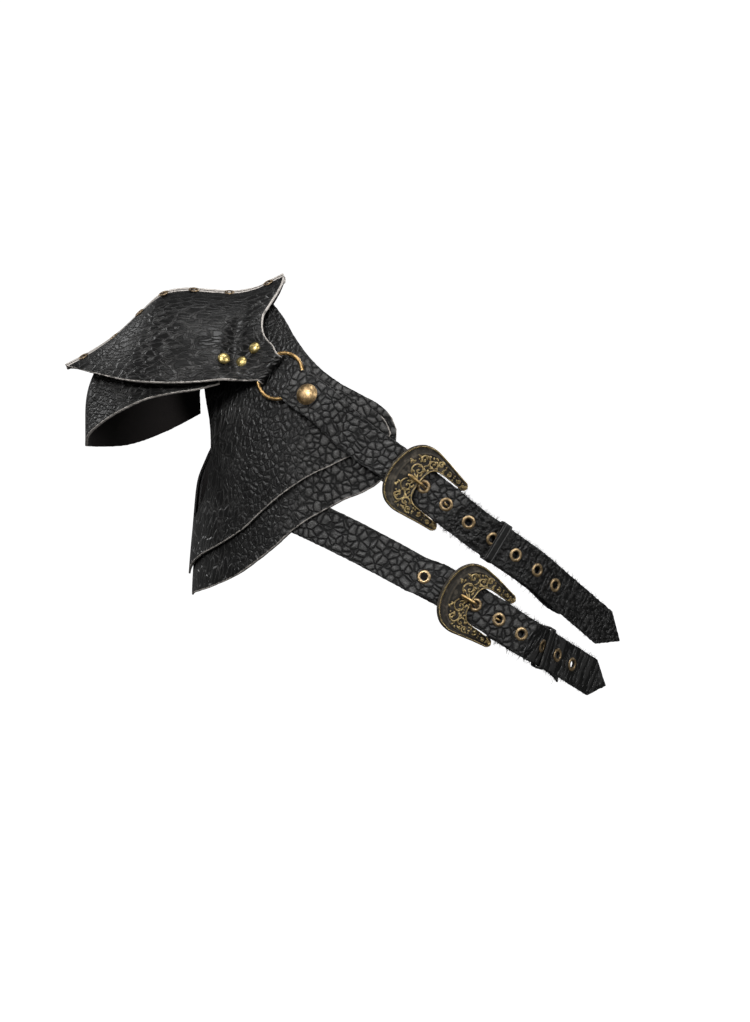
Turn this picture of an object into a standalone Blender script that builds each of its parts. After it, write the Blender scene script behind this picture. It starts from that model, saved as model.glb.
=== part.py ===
"""Leather shoulder armour with two chest straps, buckled round the body.

Sizes are in metres, +Z is up and the front faces -Y. The origin is the place on top of
the shoulder where the armour sits. Tables hold lengths as shares of the named sizes.
"""

import math

import bmesh
import bpy
import numpy as np
from mathutils import Matrix

# The body that the armour is shaped for, which is not built
BODY_HALF_WIDTH = 0.188
BODY_HALF_DEPTH = 0.120
BODY_MIDDLE = 0.1475
WAIST_TAPER = 0.123
TAPER_START = 0.174
RIDGE_SLOPE = 0.472
RIDGE_DROP = 0.006
SHOULDER_ROUND = 0.170
CHEST_POWER = 2.35
RIDGE_POWER = 1.8

# Leather
PLATE_THICKNESS = 0.0024
PANEL_THICKNESS = 0.0020
STRAP_THICKNESS = 0.0024
BUCKLE_STRAP_THICKNESS = 0.0018
GAP = 0.0007
TOUCH = 0.0003

# Shoulder plates
PLATE_REACH = 0.180
PLATE_DROP = 0.078
PLATE_RISE = 0.033
PLATE_FORE = 0.101
CREST_LAP = 0.015
CREST_SLOPE = 17.0
EDGE_SLOPE = 68.0
HORN_FLARE = 0.005
TAB_START = -0.027
TAB_SIDES = (-0.024, 0.0215)
CREST_EYELET_INSET = 0.0085
CREST_EYELETS = (1.0, 2.1, 3.1, 4.15, 5.35, 6.75, 8.9)
STUDS = ((-0.109, -0.694), (-0.014, -0.738), (0.059, -0.559))

# Arm plates
ARM_REACH = 0.160
ARM_DROP = 0.140
ARM_FORE = 0.093

# Chest and back panels
PANEL_REACH = 0.1514
PANEL_DROP = 0.293
HEM_FLARE = 0.007
TURN_SPAN = 400.0

# Ring, rivets, studs and eyelets
RING_RADIUS = 0.0241
WIRE_RADIUS = 0.0019
RIVET_RADIUS = 0.0108
RIVET_HEIGHT = 0.0040
STUD_RADIUS = 0.0062
STUD_HEIGHT = 0.0036
POST_RADIUS = 0.0018
EYELET_RADIUS = 0.0070
EYELET_HOLE = 0.0036
EYELET_WALL = 0.0006
EYELET_RISE = 0.0011
CREST_EYELET_RADIUS = 0.0056
CREST_EYELET_STAND = 0.0005
ROUND_SIDES = 8

# Straps
STRAP_WIDTH = 0.038
FOLD_WIDTH = 0.033
FOLD_PLACE = 0.0166
STRAP_REACH = 0.290
UPPER_STRAP_LOW = 0.289
LOWER_STRAP_LOW = 0.357
UPPER_SIDE_SHARE = 0.985
LOWER_SIDE_SHARE = 0.968
EYELET_PITCH = 0.0285
UPPER_PRONG_EYELET = 0.1769
LOWER_PRONG_EYELET = 0.2254
UPPER_FREE_END = 0.106
LOWER_FREE_END = 0.066
POINT_LENGTH = 0.025
RIVET_PLACE = 0.0405
LOOP_START = 0.0225
LOOP_END = RIVET_PLACE - 0.0023
LOOP_FALL = 0.0125
RETURN_END = RIVET_PLACE + 0.0142
BACK_RIVET_PLACE = 0.0075
LOWER_STRAP_START = 0.055
LOWER_RISE_START = 0.104

# Buckles
BUCKLE_LENGTH = 0.070
BUCKLE_HALF_WIDTH = 0.0365
BAR_RADIUS = 0.0014
BAR_TO_EYELET = 0.0316
FRAME_THICKNESS = 0.0030
PRONG_RADIUS = 0.0014
SLOT_HALF_WIDTH = 0.0023
FOLD_RETURN = 0.032
KEEPER_WIDTH = 0.0095
KEEPER_WALL = 0.0015
KEEPER_EYELET = 3
KEEPER_OFFSET = 0.0055
KEEPER_CLEAR = 0.066
FLAT_BLEND = 0.030
STRAP_AIR = 0.0010
OUTER_SPREAD = 0.0014

# Heights of the layers above the body, worked out from the walls
BUCKLE_RETURN = 0.0005
BAR_HEIGHT = BUCKLE_RETURN + BUCKLE_STRAP_THICKNESS + TOUCH + BAR_RADIUS
BUCKLE_STRAP_LIFT = BUCKLE_RETURN + BUCKLE_STRAP_THICKNESS + TOUCH
STRAP_REST = BUCKLE_STRAP_LIFT + BUCKLE_STRAP_THICKNESS + STRAP_AIR
UNDER_LIFT = BUCKLE_RETURN + STRAP_THICKNESS + GAP
OUTER_LIFT = UNDER_LIFT + PANEL_THICKNESS + GAP
FOLD_LIFT = OUTER_LIFT + PANEL_THICKNESS + GAP
RING_HEIGHT = FOLD_LIFT + STRAP_THICKNESS + TOUCH + WIRE_RADIUS
FOLD_TOP = RING_HEIGHT + WIRE_RADIUS + TOUCH
STRAP_OVER_BAR = max(BAR_HEIGHT + BAR_RADIUS + 2 * TOUCH + 2 * PRONG_RADIUS, FOLD_LIFT)
FRAME_ARCH = STRAP_OVER_BAR + STRAP_THICKNESS + EYELET_RISE + TOUCH + FRAME_THICKNESS / 2 - BAR_HEIGHT

# Crest and lower edge of the front shoulder plate, from the outer tip to the neck side
# Columns: crest across, crest up, edge across, edge down, edge fore
PLATE_ROWS = (
    (-1.000, -1.76, -0.990, -0.77, 0.13),
    (-0.889, -1.45, -0.905, -0.825, 0.23),
    (-0.728, -0.92, -0.795, -0.89, 0.42),
    (-0.589, -0.20, -0.667, -0.955, 0.66),
    (-0.463, 0.40, -0.539, -0.987, 0.84),
    (-0.330, 0.56, -0.389, -1.00, 0.95),
    (-0.180, 0.51, -0.242, -0.987, 1.00),
    (-0.050, 0.48, -0.110, -0.955, 0.99),
)
# Crest above the tab, whose own lower edge is worked out from the ring
TAB_CREST = ((0.067, 0.60), (0.139, 0.80), (0.211, 1.00))

# Top, waist and hem of the arm plate, from the outer side to the front end
ARM_ROWS = (
    # plate_share, plate_depth, waist across, fore, down, hem across, fore, down, back hem down
    (0.150, 0.03, -0.982, 0.015, -0.60, -0.998, 0.015, -1.000, -1.000),
    (0.153, 0.08, -0.980, 0.07, -0.60, -0.998, 0.08, -0.985, -1.000),
    (0.170, 0.20, -0.960, 0.19, -0.60, -0.985, 0.24, -0.935, -1.000),
    (0.230, 0.32, -0.870, 0.36, -0.58, -0.890, 0.50, -0.835, -1.000),
    (0.320, 0.42, -0.730, 0.58, -0.55, -0.744, 0.72, -0.738, -0.985),
    (0.430, 0.50, -0.580, 0.76, -0.54, -0.594, 0.87, -0.666, -0.930),
    (0.540, 0.56, -0.430, 0.88, -0.54, -0.438, 0.96, -0.629, -0.850),
    (0.640, 0.62, -0.290, 0.93, -0.54, -0.290, 0.99, -0.604, -0.760),
    (0.720, 0.66, -0.150, 0.92, -0.53, -0.150, 0.96, -0.560, -0.660),
)

# Edges of the panels: across as shares of PANEL_REACH, down as shares of PANEL_DROP
UNDER_ARMHOLE = (
    (-0.185, -0.060), (-0.205, -0.280), (-0.180, -0.390), (-0.165, -0.480), (-0.165, -0.560),
    (-0.180, -0.620), (-0.215, -0.680), (-0.262, -0.745), (-0.2685, -0.830), (-0.2685, -0.985),
)
UNDER_NECK = (
    (0.160, 0.000), (0.268, -0.051), (0.350, -0.123), (0.443, -0.188), (0.535, -0.235),
    (0.628, -0.270), (0.766, -0.309), (0.892, -0.345), (0.964, -0.382), (1.000, -0.425),
)
UNDER_HEM = (
    (-0.2685, -0.985), (-0.165, -0.955), (-0.026, -0.917), (0.096, -0.870), (0.218, -0.818),
    (0.314, -0.771), (0.440, -0.724), (0.561, -0.689), (0.660, -0.661), (0.784, -0.635),
    (0.895, -0.597), (0.978, -0.529), (1.000, -0.425),
)
OUTER_ARMHOLE = (
    (-0.190, -0.062), (-0.218, -0.280), (-0.205, -0.331), (-0.185, -0.389), (-0.174, -0.473),
    (-0.180, -0.558), (-0.188, -0.614), (-0.225, -0.679), (-0.264, -0.750), (-0.2685, -0.830),
    (-0.2685, -0.912),
)
OUTER_NECK = (
    (0.125, -0.005), (0.225, -0.061), (0.310, -0.135), (0.405, -0.203), (0.500, -0.252),
    (0.595, -0.288), (0.730, -0.326), (0.850, -0.361), (0.925, -0.396), (0.963, -0.440),
)
OUTER_HEM = (
    (-0.2685, -0.912), (-0.228, -0.857), (-0.095, -0.807), (0.033, -0.758), (0.159, -0.693),
    (0.277, -0.640), (0.429, -0.585), (0.581, -0.546), (0.700, -0.515), (0.820, -0.485),
    (0.930, -0.465), (0.963, -0.440),
)
# Armhole and side edge of the back panels: angle round the body, down
BACK_SIDE = ((197.0, -0.062), (198.5, -0.280), (201.0, -0.400), (194.0, -0.520), (186.0, -0.610),
             (181.5, -0.700), (180.4, -0.800), (180.4, -0.900))
SEAM_ANGLE = 0.35

# Centre lines of the straps on the body: across as shares of STRAP_REACH, down as shares of the
# strap's lowest point at the side
UPPER_ROUTE = ((0.144, -0.263), (0.203, -0.305), (0.399, -0.466), (0.610, -0.626), (0.767, -0.748),
               (0.910, -0.855), (1.000, -0.922))
LOWER_ROUTE = ((0.034, -0.527), (0.228, -0.599), (0.606, -0.758), (0.777, -0.833), (0.923, -0.908),
               (1.000, -0.947))

# Half of the buckle's outline: inner along, inner across, outer along, outer across
BUCKLE_ROWS = (
    (-0.050, 0.640, -0.046, 0.745), (-0.020, 0.572, -0.012, 0.806), (0.057, 0.564, 0.057, 0.828),
    (0.229, 0.562, 0.229, 0.885), (0.380, 0.550, 0.430, 0.955), (0.465, 0.480, 0.630, 1.000),
    (0.507, 0.330, 0.815, 0.890), (0.520, 0.150, 0.950, 0.550), (0.523, 0.000, 1.000, 0.000),
)

# Cross-section of the buckle's frame: share from the inner to the outer edge, rise
FRAME_SECTION = ((0.0, -0.5), (0.0, 0.42), (0.62, 0.30), (0.74, 0.62), (0.90, 0.62), (1.0, 0.2), (1.0, -0.5))

PARTS = bpy.data.collections.new("pauldron")
CUTTERS = bpy.data.collections.new("cutters")


def clear_scene():
    """Remove the start-up objects and link the two collections."""
    for thing in list(bpy.data.objects):
        bpy.data.objects.remove(thing)
    for group in (PARTS, CUTTERS):
        bpy.context.scene.collection.children.link(group)


def material(name, colour, roughness, metallic):
    """A plain Principled material."""
    made = bpy.data.materials.new(name)
    made.use_nodes = True
    shader = made.node_tree.nodes["Principled BSDF"]
    shader.inputs["Base Color"].default_value = (*colour, 1.0)
    shader.inputs["Roughness"].default_value = roughness
    shader.inputs["Metallic"].default_value = metallic
    return made


def spline(rows, shares):
    """Points of a smooth curve through the rows, at shares 0 to 1 of its length."""
    rows = np.asarray(rows, float)
    shares = np.asarray(shares, float)
    steps = np.linalg.norm(np.diff(rows, axis=0), axis=1)
    knots = np.concatenate([[0.0], np.cumsum(steps)]) / steps.sum()
    slopes = np.gradient(rows, knots, axis=0)
    place = np.clip(np.searchsorted(knots, shares, side="right") - 1, 0, len(knots) - 2)
    width = (knots[place + 1] - knots[place])[:, None]
    t = (shares - knots[place])[:, None] / width
    start = (1 + 2 * t) * (1 - t) ** 2 * rows[place] + t * (1 - t) ** 2 * width * slopes[place]
    end = t * t * (3 - 2 * t) * rows[place + 1] + t * t * (t - 1) * width * slopes[place + 1]
    return start + end


def unit(vectors):
    """The vectors scaled to length 1."""
    vectors = np.asarray(vectors, float)
    return vectors / np.linalg.norm(vectors, axis=-1, keepdims=True)


def smooth_step(value, low, high):
    """0 below low, 1 above high and an even blend between."""
    t = np.clip((np.asarray(value, float) - low) / (high - low), 0.0, 1.0)
    return t * t * (3 - 2 * t)


def body_half_width(side, height):
    """Half the body's width: straight on the armour's side, tapering on the other."""
    taper = WAIST_TAPER * np.maximum(0.0, -np.asarray(height) - TAPER_START)
    return BODY_HALF_WIDTH - np.where(side > 0, taper, 0.0)


def body_point(angle, height):
    """Point on the body at an angle round it (0 right, 90 front, 180 left) and a height."""
    turn = np.radians(angle)
    along, fore = np.cos(turn), np.sin(turn)
    wide = np.abs(along) / body_half_width(along, height)
    deep = np.abs(fore) / BODY_HALF_DEPTH
    reach = (wide ** CHEST_POWER + deep ** CHEST_POWER) ** (-1 / CHEST_POWER)
    across = BODY_MIDDLE + reach * along
    drop = np.clip((RIDGE_SLOPE * across - RIDGE_DROP - height) / SHOULDER_ROUND, 0.0, 1.0)
    round_off = (1 - (1 - drop) ** RIDGE_POWER) ** (1 / RIDGE_POWER)
    return np.stack([across, -reach * fore * round_off, height + 0.0 * across], axis=-1)


def body_angle(across, height, side=1.0):
    """Angle round the body of a place seen from the front."""
    offset = across - BODY_MIDDLE
    half = body_half_width(offset, height)
    share = np.clip(np.abs(offset) / half, 0.0, 1.0)
    deep = BODY_HALF_DEPTH * (1 - share ** CHEST_POWER) ** (1 / CHEST_POWER)
    return np.degrees(np.arctan2(deep, np.sign(offset) * share * half)) * side


def body_frame(angle, height):
    """Point on the body and the outward normal there."""
    angle = np.asarray(angle, float)
    height = np.asarray(height, float)
    here = body_point(angle, height)
    turned = body_point(angle + 0.5, height)
    shift = RIDGE_SLOPE * (turned[..., 0] - here[..., 0])
    round_way = body_point(angle + 0.5, height + shift) - here
    down_way = body_point(angle, height - 0.001) - here
    return here, unit(np.cross(round_way, down_way))


def lay(angle, height, lift):
    """Point at a lift above the body."""
    point, normal = body_frame(angle, height)
    return point + normal * np.asarray(lift)[..., None]


def add_object(name, mesh, finish, group=PARTS):
    """Put a mesh in the scene."""
    made = bpy.data.objects.new(name, mesh)
    group.objects.link(made)
    if finish:
        mesh.materials.append(finish)
    if group is CUTTERS:
        made.hide_render = True
        made.display_type = "WIRE"
    return made


def add_grid(maker, points, flip):
    """Add a grid moved onto the points, which run along rows and columns. Its squares are split
    one way, so that sheets that lie together bend together."""
    rows, columns = points.shape[:2]
    made = bmesh.ops.create_grid(maker, x_segments=columns - 1, y_segments=rows - 1, size=1.0)
    for vertex in made["verts"]:
        column = round((vertex.co.x + 1) / 2 * (columns - 1))
        row = round((vertex.co.y + 1) / 2 * (rows - 1))
        vertex.co = points[row, column]
    faces = list({face for vertex in made["verts"] for face in vertex.link_faces})
    if flip:
        bmesh.ops.reverse_faces(maker, faces=faces)
    bmesh.ops.triangulate(maker, faces=faces, quad_method="FIXED")


def sheet(name, grids, finish, thickness):
    """A leather sheet of one or more joined grids, thickened on its inner side."""
    maker = bmesh.new()
    for points, flip in grids:
        add_grid(maker, points, flip)
    bmesh.ops.remove_doubles(maker, verts=maker.verts, dist=0.00001)
    mesh = bpy.data.meshes.new(name)
    maker.to_mesh(mesh)
    maker.free()
    mesh.shade_smooth()
    made = add_object(name, mesh, finish)
    solid = made.modifiers.new("thickness", "SOLIDIFY")
    solid.thickness = thickness
    solid.offset = -1.0
    solid.use_even_offset = True
    return made


def turned(name, profile, finish, sides=ROUND_SIDES):
    """A turned piece from a profile of (radius, height) points, top to bottom outside."""
    mesh = bpy.data.meshes.new(name)
    corners = [(radius, 0.0, height) for radius, height in profile]
    open_end = profile[0][0] == 0.0
    count = len(corners)
    edges = [(i, (i + 1) % count) for i in range(count - open_end)]
    mesh.from_pydata(corners, edges, [])
    made = add_object(name, mesh, finish)
    screw = made.modifiers.new("turn", "SCREW")
    screw.steps = sides
    screw.render_steps = sides
    screw.use_merge_vertices = True
    screw.merge_threshold = 0.00005
    return made


def standing(point, normal):
    """The matrix that stands a piece on a point with its own Z along the normal."""
    up = unit(normal)
    side = unit(np.cross(up, (1.0, 0.0, 0.0)))
    matrix = np.eye(4)
    matrix[:3, 0] = np.cross(side, up)
    matrix[:3, 1] = side
    matrix[:3, 2] = up
    matrix[:3, 3] = point
    return Matrix(matrix.tolist())


def hole_cutter(name, spots, radius, length):
    """One cutter of several round bars, one through each spot."""
    maker = bmesh.new()
    for point, normal in spots:
        made = bmesh.ops.create_cone(
            maker, cap_ends=True, segments=ROUND_SIDES, radius1=radius, radius2=radius, depth=length
        )
        bmesh.ops.transform(maker, matrix=standing(point, normal), verts=made["verts"])
    mesh = bpy.data.meshes.new(name)
    maker.to_mesh(mesh)
    maker.free()
    return add_object(name, mesh, None, CUTTERS)


def cut(made, cutter):
    """Cut a piece with a cutter."""
    hole = made.modifiers.new("hole", "BOOLEAN")
    hole.operation = "DIFFERENCE"
    hole.solver = "EXACT"
    hole.object = cutter


def eyelet(name, point, normal, depth, finish, radius=EYELET_RADIUS):
    """A turned eyelet whose barrel reaches a depth below the face."""
    barrel = EYELET_HOLE * radius / EYELET_RADIUS
    profile = (
        (barrel, EYELET_RISE),
        (radius, TOUCH + EYELET_WALL),
        (barrel + EYELET_WALL, TOUCH),
        (barrel + EYELET_WALL, -depth),
        (barrel, -depth),
    )
    made = turned(name, profile, finish)
    made.matrix_world = standing(point, normal)


def dome(name, point, normal, size, depth, finish):
    """A domed head of (radius, height) with a post that reaches a depth below the face."""
    radius, height = size
    arc = [(0.0, TOUCH + height)]
    for turn in (60, 30, 0):
        angle = math.radians(turn)
        arc.append((radius * math.cos(angle), TOUCH + height * math.sin(angle)))
    profile = (*arc, (POST_RADIUS, TOUCH), (POST_RADIUS, -depth), (0.0, -depth))
    made = turned(name, profile, finish)
    made.matrix_world = standing(point, normal)


class Route:
    """A strap's centre line on the body, measured along its length from the ring side."""

    def __init__(self, table, low, side_share, prong_eyelet, from_ring):
        across = np.array([row[0] for row in table]) * STRAP_REACH
        height = np.array([row[1] for row in table]) * low
        turn = np.radians(body_angle(across, height)) * BODY_HALF_DEPTH
        side = [(math.radians(20.0) * BODY_HALF_DEPTH, -side_share * low), (0.0, -low)]
        half = list(zip(turn, height)) + side
        whole = half + [(-place, drop) for place, drop in reversed(half[:-1])]
        line = spline(whole, np.linspace(0, 1, 1601))
        angle = np.degrees(line[:, 0] / BODY_HALF_DEPTH)
        self.points, self.normals = body_frame(angle, line[:, 1])
        steps = np.linalg.norm(np.diff(self.points, axis=0), axis=1)
        self.along = np.concatenate([[0.0], np.cumsum(steps)])
        self.length = self.along[-1]
        self.prong_eyelet = self.where(prong_eyelet)
        self.bar = self.prong_eyelet + BAR_TO_EYELET
        self.leave = max(self.where(STRAP_REACH), self.bar + KEEPER_CLEAR)
        self.flats = [
            (self.bar - BUCKLE_LENGTH, self.bar + FOLD_RETURN, self.bar - 0.3 * BUCKLE_LENGTH),
        ]
        if from_ring:
            self.flats.append((-0.060, RETURN_END, 0.0))

    def where(self, across):
        """Length along the front at which the route reaches a place across."""
        half = len(self.points) // 2
        return float(np.interp(across, self.points[:half, 0], self.along[:half]))

    def on_body(self, along):
        """Point, normal and direction on the body at a length."""
        def at(length, values):
            return np.array([np.interp(length, self.along, values[:, i]) for i in range(3)])
        step = 0.001
        inside = min(max(along, step), self.length - step)
        forward = unit(at(inside + step, self.points) - at(inside - step, self.points))
        normal = unit(at(inside, self.normals))
        normal = unit(normal - forward * normal.dot(forward))
        return at(inside, self.points) + forward * (along - inside), normal, forward

    def frame(self, along, free=False):
        """The same, but flat under the buckle and straight on a free end."""
        if free and along > self.leave:
            point, normal, forward = self.on_body(self.leave)
            return point + forward * (along - self.leave), normal, forward
        point, normal, forward = self.on_body(along)
        for start, end, middle in self.flats:
            weight = smooth_step(along, start - FLAT_BLEND, start)
            weight = weight * (1 - smooth_step(along, end, end + FLAT_BLEND))
            flat_point, flat_normal, flat_forward = self.on_body(middle)
            target = flat_point + flat_forward * (along - middle)
            point = point + (target - point) * weight
            normal = unit(normal + (flat_normal - normal) * weight)
            forward = unit(forward + (flat_forward - forward) * weight)
        return point, unit(normal - forward * normal.dot(forward)), forward

    def at(self, along, across, lift, free=False):
        """Point at a length, a distance to the upper side and a lift above the body."""
        point, normal, forward = self.frame(along, free)
        return point + normal * lift + np.cross(normal, forward) * across


def strap(name, route, stations, finish, thickness, free=False):
    """A flat strap through stations of (along, lift of its outer face, half width)."""
    points = [
        [route.at(along, -half, lift, free), route.at(along, half, lift, free)]
        for along, lift, half in stations
    ]
    return sheet(name, [(np.array(points), True)], finish, thickness)


def fold(centre, height, radius, half):
    """Stations of a strap's turn round a wire or bar, from its lower to its upper side."""
    angles = np.radians(np.linspace(-90, 90, 7))
    return [(centre - radius * math.cos(a), height + radius * math.sin(a), half) for a in angles]


def evenly(start, end, lift_from, lift_to, half, spacing=0.010):
    """Stations between two lengths, easing from one lift to the other."""
    count = max(2, int(abs(end - start) / spacing) + 1)
    shares = np.linspace(0, 1, count + 1)[1:]
    return [
        (start + (end - start) * t, lift_from + (lift_to - lift_from) * smooth_step(t, 0, 1), half)
        for t in shares
    ]


def past_bar(route, end):
    """Lengths of the stations past the bar, shared by the two straps that lie together. The
    straps are straight under each eyelet and under the keeper."""
    found = [0.004, 0.0085, 0.013]
    number = 2
    while route.bar + found[-1] < end:
        centre = number * EYELET_PITCH - BAR_TO_EYELET
        flat_end = centre + EYELET_RADIUS + TOUCH
        if number == KEEPER_EYELET:
            flat_end = centre + KEEPER_OFFSET + KEEPER_WIDTH / 2 + 2 * TOUCH
        after = (number + 1) * EYELET_PITCH - BAR_TO_EYELET - EYELET_RADIUS - TOUCH
        found += [centre - EYELET_RADIUS - TOUCH, flat_end, (flat_end + after) / 2]
        number += 1
    return [route.bar + step for step in found if route.bar + step < end]


def seat(route, stations, along, free=False):
    """Point and normal on a strap's outer face, between the two stations round a length."""
    top = sorted((place, lift) for place, lift, _ in stations if place > 0.02 and lift > BAR_HEIGHT)
    after = next(number for number, (place, _) in enumerate(top) if place > along)
    ends = []
    sides = []
    for place, lift in (top[after - 1], top[after]):
        _, normal, forward = route.frame(place, free)
        ends.append(route.at(place, 0.0, lift, free))
        sides.append(np.cross(normal, forward))
    share = (along - top[after - 1][0]) / (top[after][0] - top[after - 1][0])
    return ends[0] + (ends[1] - ends[0]) * share, unit(np.cross(ends[1] - ends[0], sides[0] + sides[1]))


def plate_edges(tab_start):
    """Crest and lower-edge points of the front plate, a row for each column index."""
    rows = np.array(PLATE_ROWS)
    crest = [(a * PLATE_REACH, 0.0, u * PLATE_RISE) for a, u in rows[:, :2]]
    crest += [(a * PLATE_REACH, 0.0, u * PLATE_RISE) for a, u in TAB_CREST]
    edge = [(a * PLATE_REACH, -f * PLATE_FORE, d * PLATE_DROP) for a, d, f in rows[:, 2:]]
    return np.array(crest), np.array(edge + [tab_start[0]]), np.array(tab_start)


def plate_point(index, depth, route):
    """Point of the front plate's outer face: index runs 0 to 10 from the outer tip to the neck
    side, depth 0 to 1 from the crest to the lower edge."""
    index, depth = np.broadcast_arrays(np.asarray(index, float), np.asarray(depth, float))
    shape = index.shape
    index, depth = index.ravel(), depth.ravel()
    tab = [route.at(TAB_START, side, FOLD_TOP + PLATE_THICKNESS) for side in TAB_SIDES]
    crest, edge, tab = plate_edges(tab)
    corner = len(edge) - 1
    last = len(crest) - 1
    top = indexed(crest, index)
    low = indexed(edge, np.minimum(index, corner))
    beyond = np.clip((index - corner) / (last - corner), 0.0, 1.0)[:, None]
    low = low + (tab[1] - tab[0]) * beyond
    chord = low - top
    level = unit(chord * np.array([1.0, 1.0, 0.0]))
    size = np.linalg.norm(chord, axis=1, keepdims=True)
    sloped = [
        level * math.cos(math.radians(a)) - np.array([0, 0, math.sin(math.radians(a))])
        for a in (CREST_SLOPE, EDGE_SLOPE)
    ]
    forward = route.on_body(0.0)[2]
    onto_tab = smooth_step(index, corner - 1.0, corner)[:, None]
    end_way = unit(sloped[1] * (1 - onto_tab) + forward * onto_tab)
    t = depth[:, None]
    point = (
        (1 + 2 * t) * (1 - t) ** 2 * top
        + t * (1 - t) ** 2 * size * sloped[0]
        + t * t * (3 - 2 * t) * low
        + t * t * (t - 1) * size * end_way
    )
    flare = HORN_FLARE * np.sin(np.pi * np.clip(depth / 0.6, 0, 1)) * smooth_step(index, corner - 0.5, last)
    point[:, 0] += flare
    return point.reshape(*shape, 3)


def plate_frame(index, depth, route, inward=0.0):
    """Point at a distance under the front plate's outer face, and the outward normal."""
    index, depth = np.broadcast_arrays(np.asarray(index, float), np.asarray(depth, float))
    here = plate_point(index, depth, route)
    small = 0.02
    side = np.where(index > 9.9, -small, small)
    along = (plate_point(index + side, depth, route) - here) * np.sign(side)[..., None]
    step = np.where(depth > 0.9, -small, small)
    down = (plate_point(index, depth + step, route) - here) * np.sign(step)[..., None]
    normal = unit(np.cross(down, along))
    return here - normal * np.asarray(inward)[..., None], normal


def indexed(rows, index):
    """Smooth curve through the rows at fractional row numbers."""
    slopes = np.gradient(rows, axis=0)
    base = np.clip(np.floor(index).astype(int), 0, len(rows) - 2)
    t = (index - base)[:, None]
    return (
        (1 + 2 * t) * (1 - t) ** 2 * rows[base] + t * (1 - t) ** 2 * slopes[base]
        + t * t * (3 - 2 * t) * rows[base + 1] + t * t * (t - 1) * slopes[base + 1]
    )


def plate_spot(across, height, route):
    """Point and normal of the front plate at a place seen from the front."""
    index, depth = np.meshgrid(np.linspace(0, 10, 161), np.linspace(0, 1, 81))
    point, normal = plate_frame(index, depth, route)
    away = np.hypot(point[..., 0] - across, point[..., 2] - height)
    row, column = np.unravel_index(np.argmin(away), away.shape)
    base, up = point[row, column], normal[row, column]
    fore = base[1] - (up[0] * (across - base[0]) + up[2] * (height - base[2])) / up[1]
    return np.array([across, fore, height]), up


def mirrored(points):
    """The same points at the back."""
    return points * np.array([1.0, -1.0, 1.0])


def plate_tab(route):
    """Grid of the front plate's tab: round the ring and back beneath the plate."""
    shares = np.linspace(0, 1, 4)
    top = FOLD_TOP + PLATE_THICKNESS
    turn = fold(FOLD_PLACE, RING_HEIGHT, WIRE_RADIUS + TOUCH + PLATE_THICKNESS, 0.0)
    spans = [(TAB_START, top, *TAB_SIDES), (-0.022, top, -0.0205, 0.0190)]
    half = FOLD_WIDTH / 2
    spans += [(-along, lift, -half, half) for along, lift, _ in reversed(turn)]
    spans += [(-0.022, FOLD_LIFT, -0.018, 0.018), (TAB_START, FOLD_LIFT, -0.018, 0.018)]
    grid = [
        [route.at(along, low + (high - low) * share, lift) for share in shares]
        for along, lift, low, high in spans
    ]
    for along, space in ((-0.034, 0.0030), (-0.041, 0.0014), (-0.049, 0.0005), (-0.057, 0.0005)):
        row = []
        for share in shares:
            seen = route.at(along, -0.017 + 0.034 * share, top)
            point, normal = plate_spot(seen[0], seen[2], route)
            row.append(point - normal * (2 * PLATE_THICKNESS + space))
        grid.append(row)
    return np.array(grid)


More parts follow.
